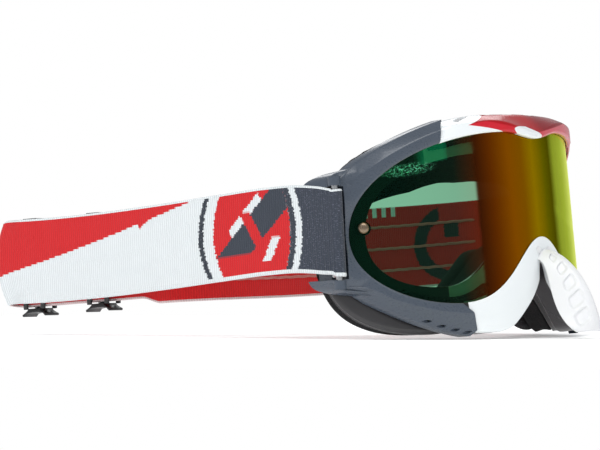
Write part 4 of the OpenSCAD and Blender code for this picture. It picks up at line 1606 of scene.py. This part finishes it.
def make_world():
    """Soft cool light, seen by the camera as plain white."""
    SCENE.world = bpy.data.worlds.new("w")
    look = Look(SCENE.world, "OutputWorld")
    lit = look.make("Background", Color=(0.96, 0.98, 1.0), Strength=0.55)
    seen = look.make("Background", Color=(1, 1, 1), Strength=1.0)
    camera_ray = look.node("LightPath").outputs["Is Camera Ray"]
    look.show(look.make("MixShader", camera_ray, lit, seen))


def make_area(name, place, size, watts, glossy=True):
    """Rectangular light aimed at the goggle, hidden from the camera."""
    light = bpy.data.lights.new(name, "AREA")
    light.shape = "RECTANGLE"
    light.size, light.size_y = size
    light.energy = watts
    ob = link_object(name, light)
    ob.location = place
    ob.rotation_mode = "QUATERNION"
    aim = Vector((0, 0, 0.05)) - Vector(place)
    ob.rotation_quaternion = aim.to_track_quat("-Z", "Y")
    ob.visible_camera = False
    ob.visible_glossy = glossy


make_floor()
make_world()
make_area("key", place=(-0.7, -0.5, 1.25), size=(1.1, 0.8), watts=9.5)
make_area("fill", place=(-1.3, 0.35, 0.55), size=(0.9, 0.7), watts=4.5, glossy=False)
make_area("back", place=(0.9, 0.7, 1.1), size=(0.9, 0.7), watts=5.5)
make_area("low", place=(-0.2, -1.5, 0.35), size=(0.8, 0.4), watts=2.6, glossy=False)
SCENE.view_settings.view_transform = "Standard"
SCENE.view_settings.look = "None"

# ---------------------------------------------------------------- camera
# Placed in the goggle frame: angles round the target, distance in mm
AZIMUTH, ELEVATION, ROLL = (math.radians(angle) for angle in (53.68, -4.0, 5.23))
CAMERA_DISTANCE = 2200.0
CAMERA_TARGET = np.array([81.53, 100.0, 27.12])
SENSOR_WIDTH, FOCAL_LENGTH = 36.0, 277.2


def make_camera():
    back = np.array([-math.sin(AZIMUTH) * math.cos(ELEVATION),
                     -math.cos(AZIMUTH) * math.cos(ELEVATION), math.sin(ELEVATION)])
    level = np.cross(-back, [0, 0, 1])
    level /= np.linalg.norm(level)
    upright = np.cross(level, -back)
    right = level * math.cos(ROLL) - upright * math.sin(ROLL)
    up = level * math.sin(ROLL) + upright * math.cos(ROLL)
    camera = bpy.data.cameras.new("cam")
    camera.sensor_width = SENSOR_WIDTH
    camera.lens = FOCAL_LENGTH
    camera.clip_start, camera.clip_end = 0.05, 100
    ob = link_object("cam", camera)
    matrix = np.eye(4)
    matrix[:3, :3] = tilt([right, up, back], LEAN).T
    matrix[:3, 3] = to_row(CAMERA_TARGET + back * CAMERA_DISTANCE)
    ob.matrix_world = Matrix(matrix.tolist())
    SCENE.camera = ob


make_camera()
bpy.context.view_layer.update()
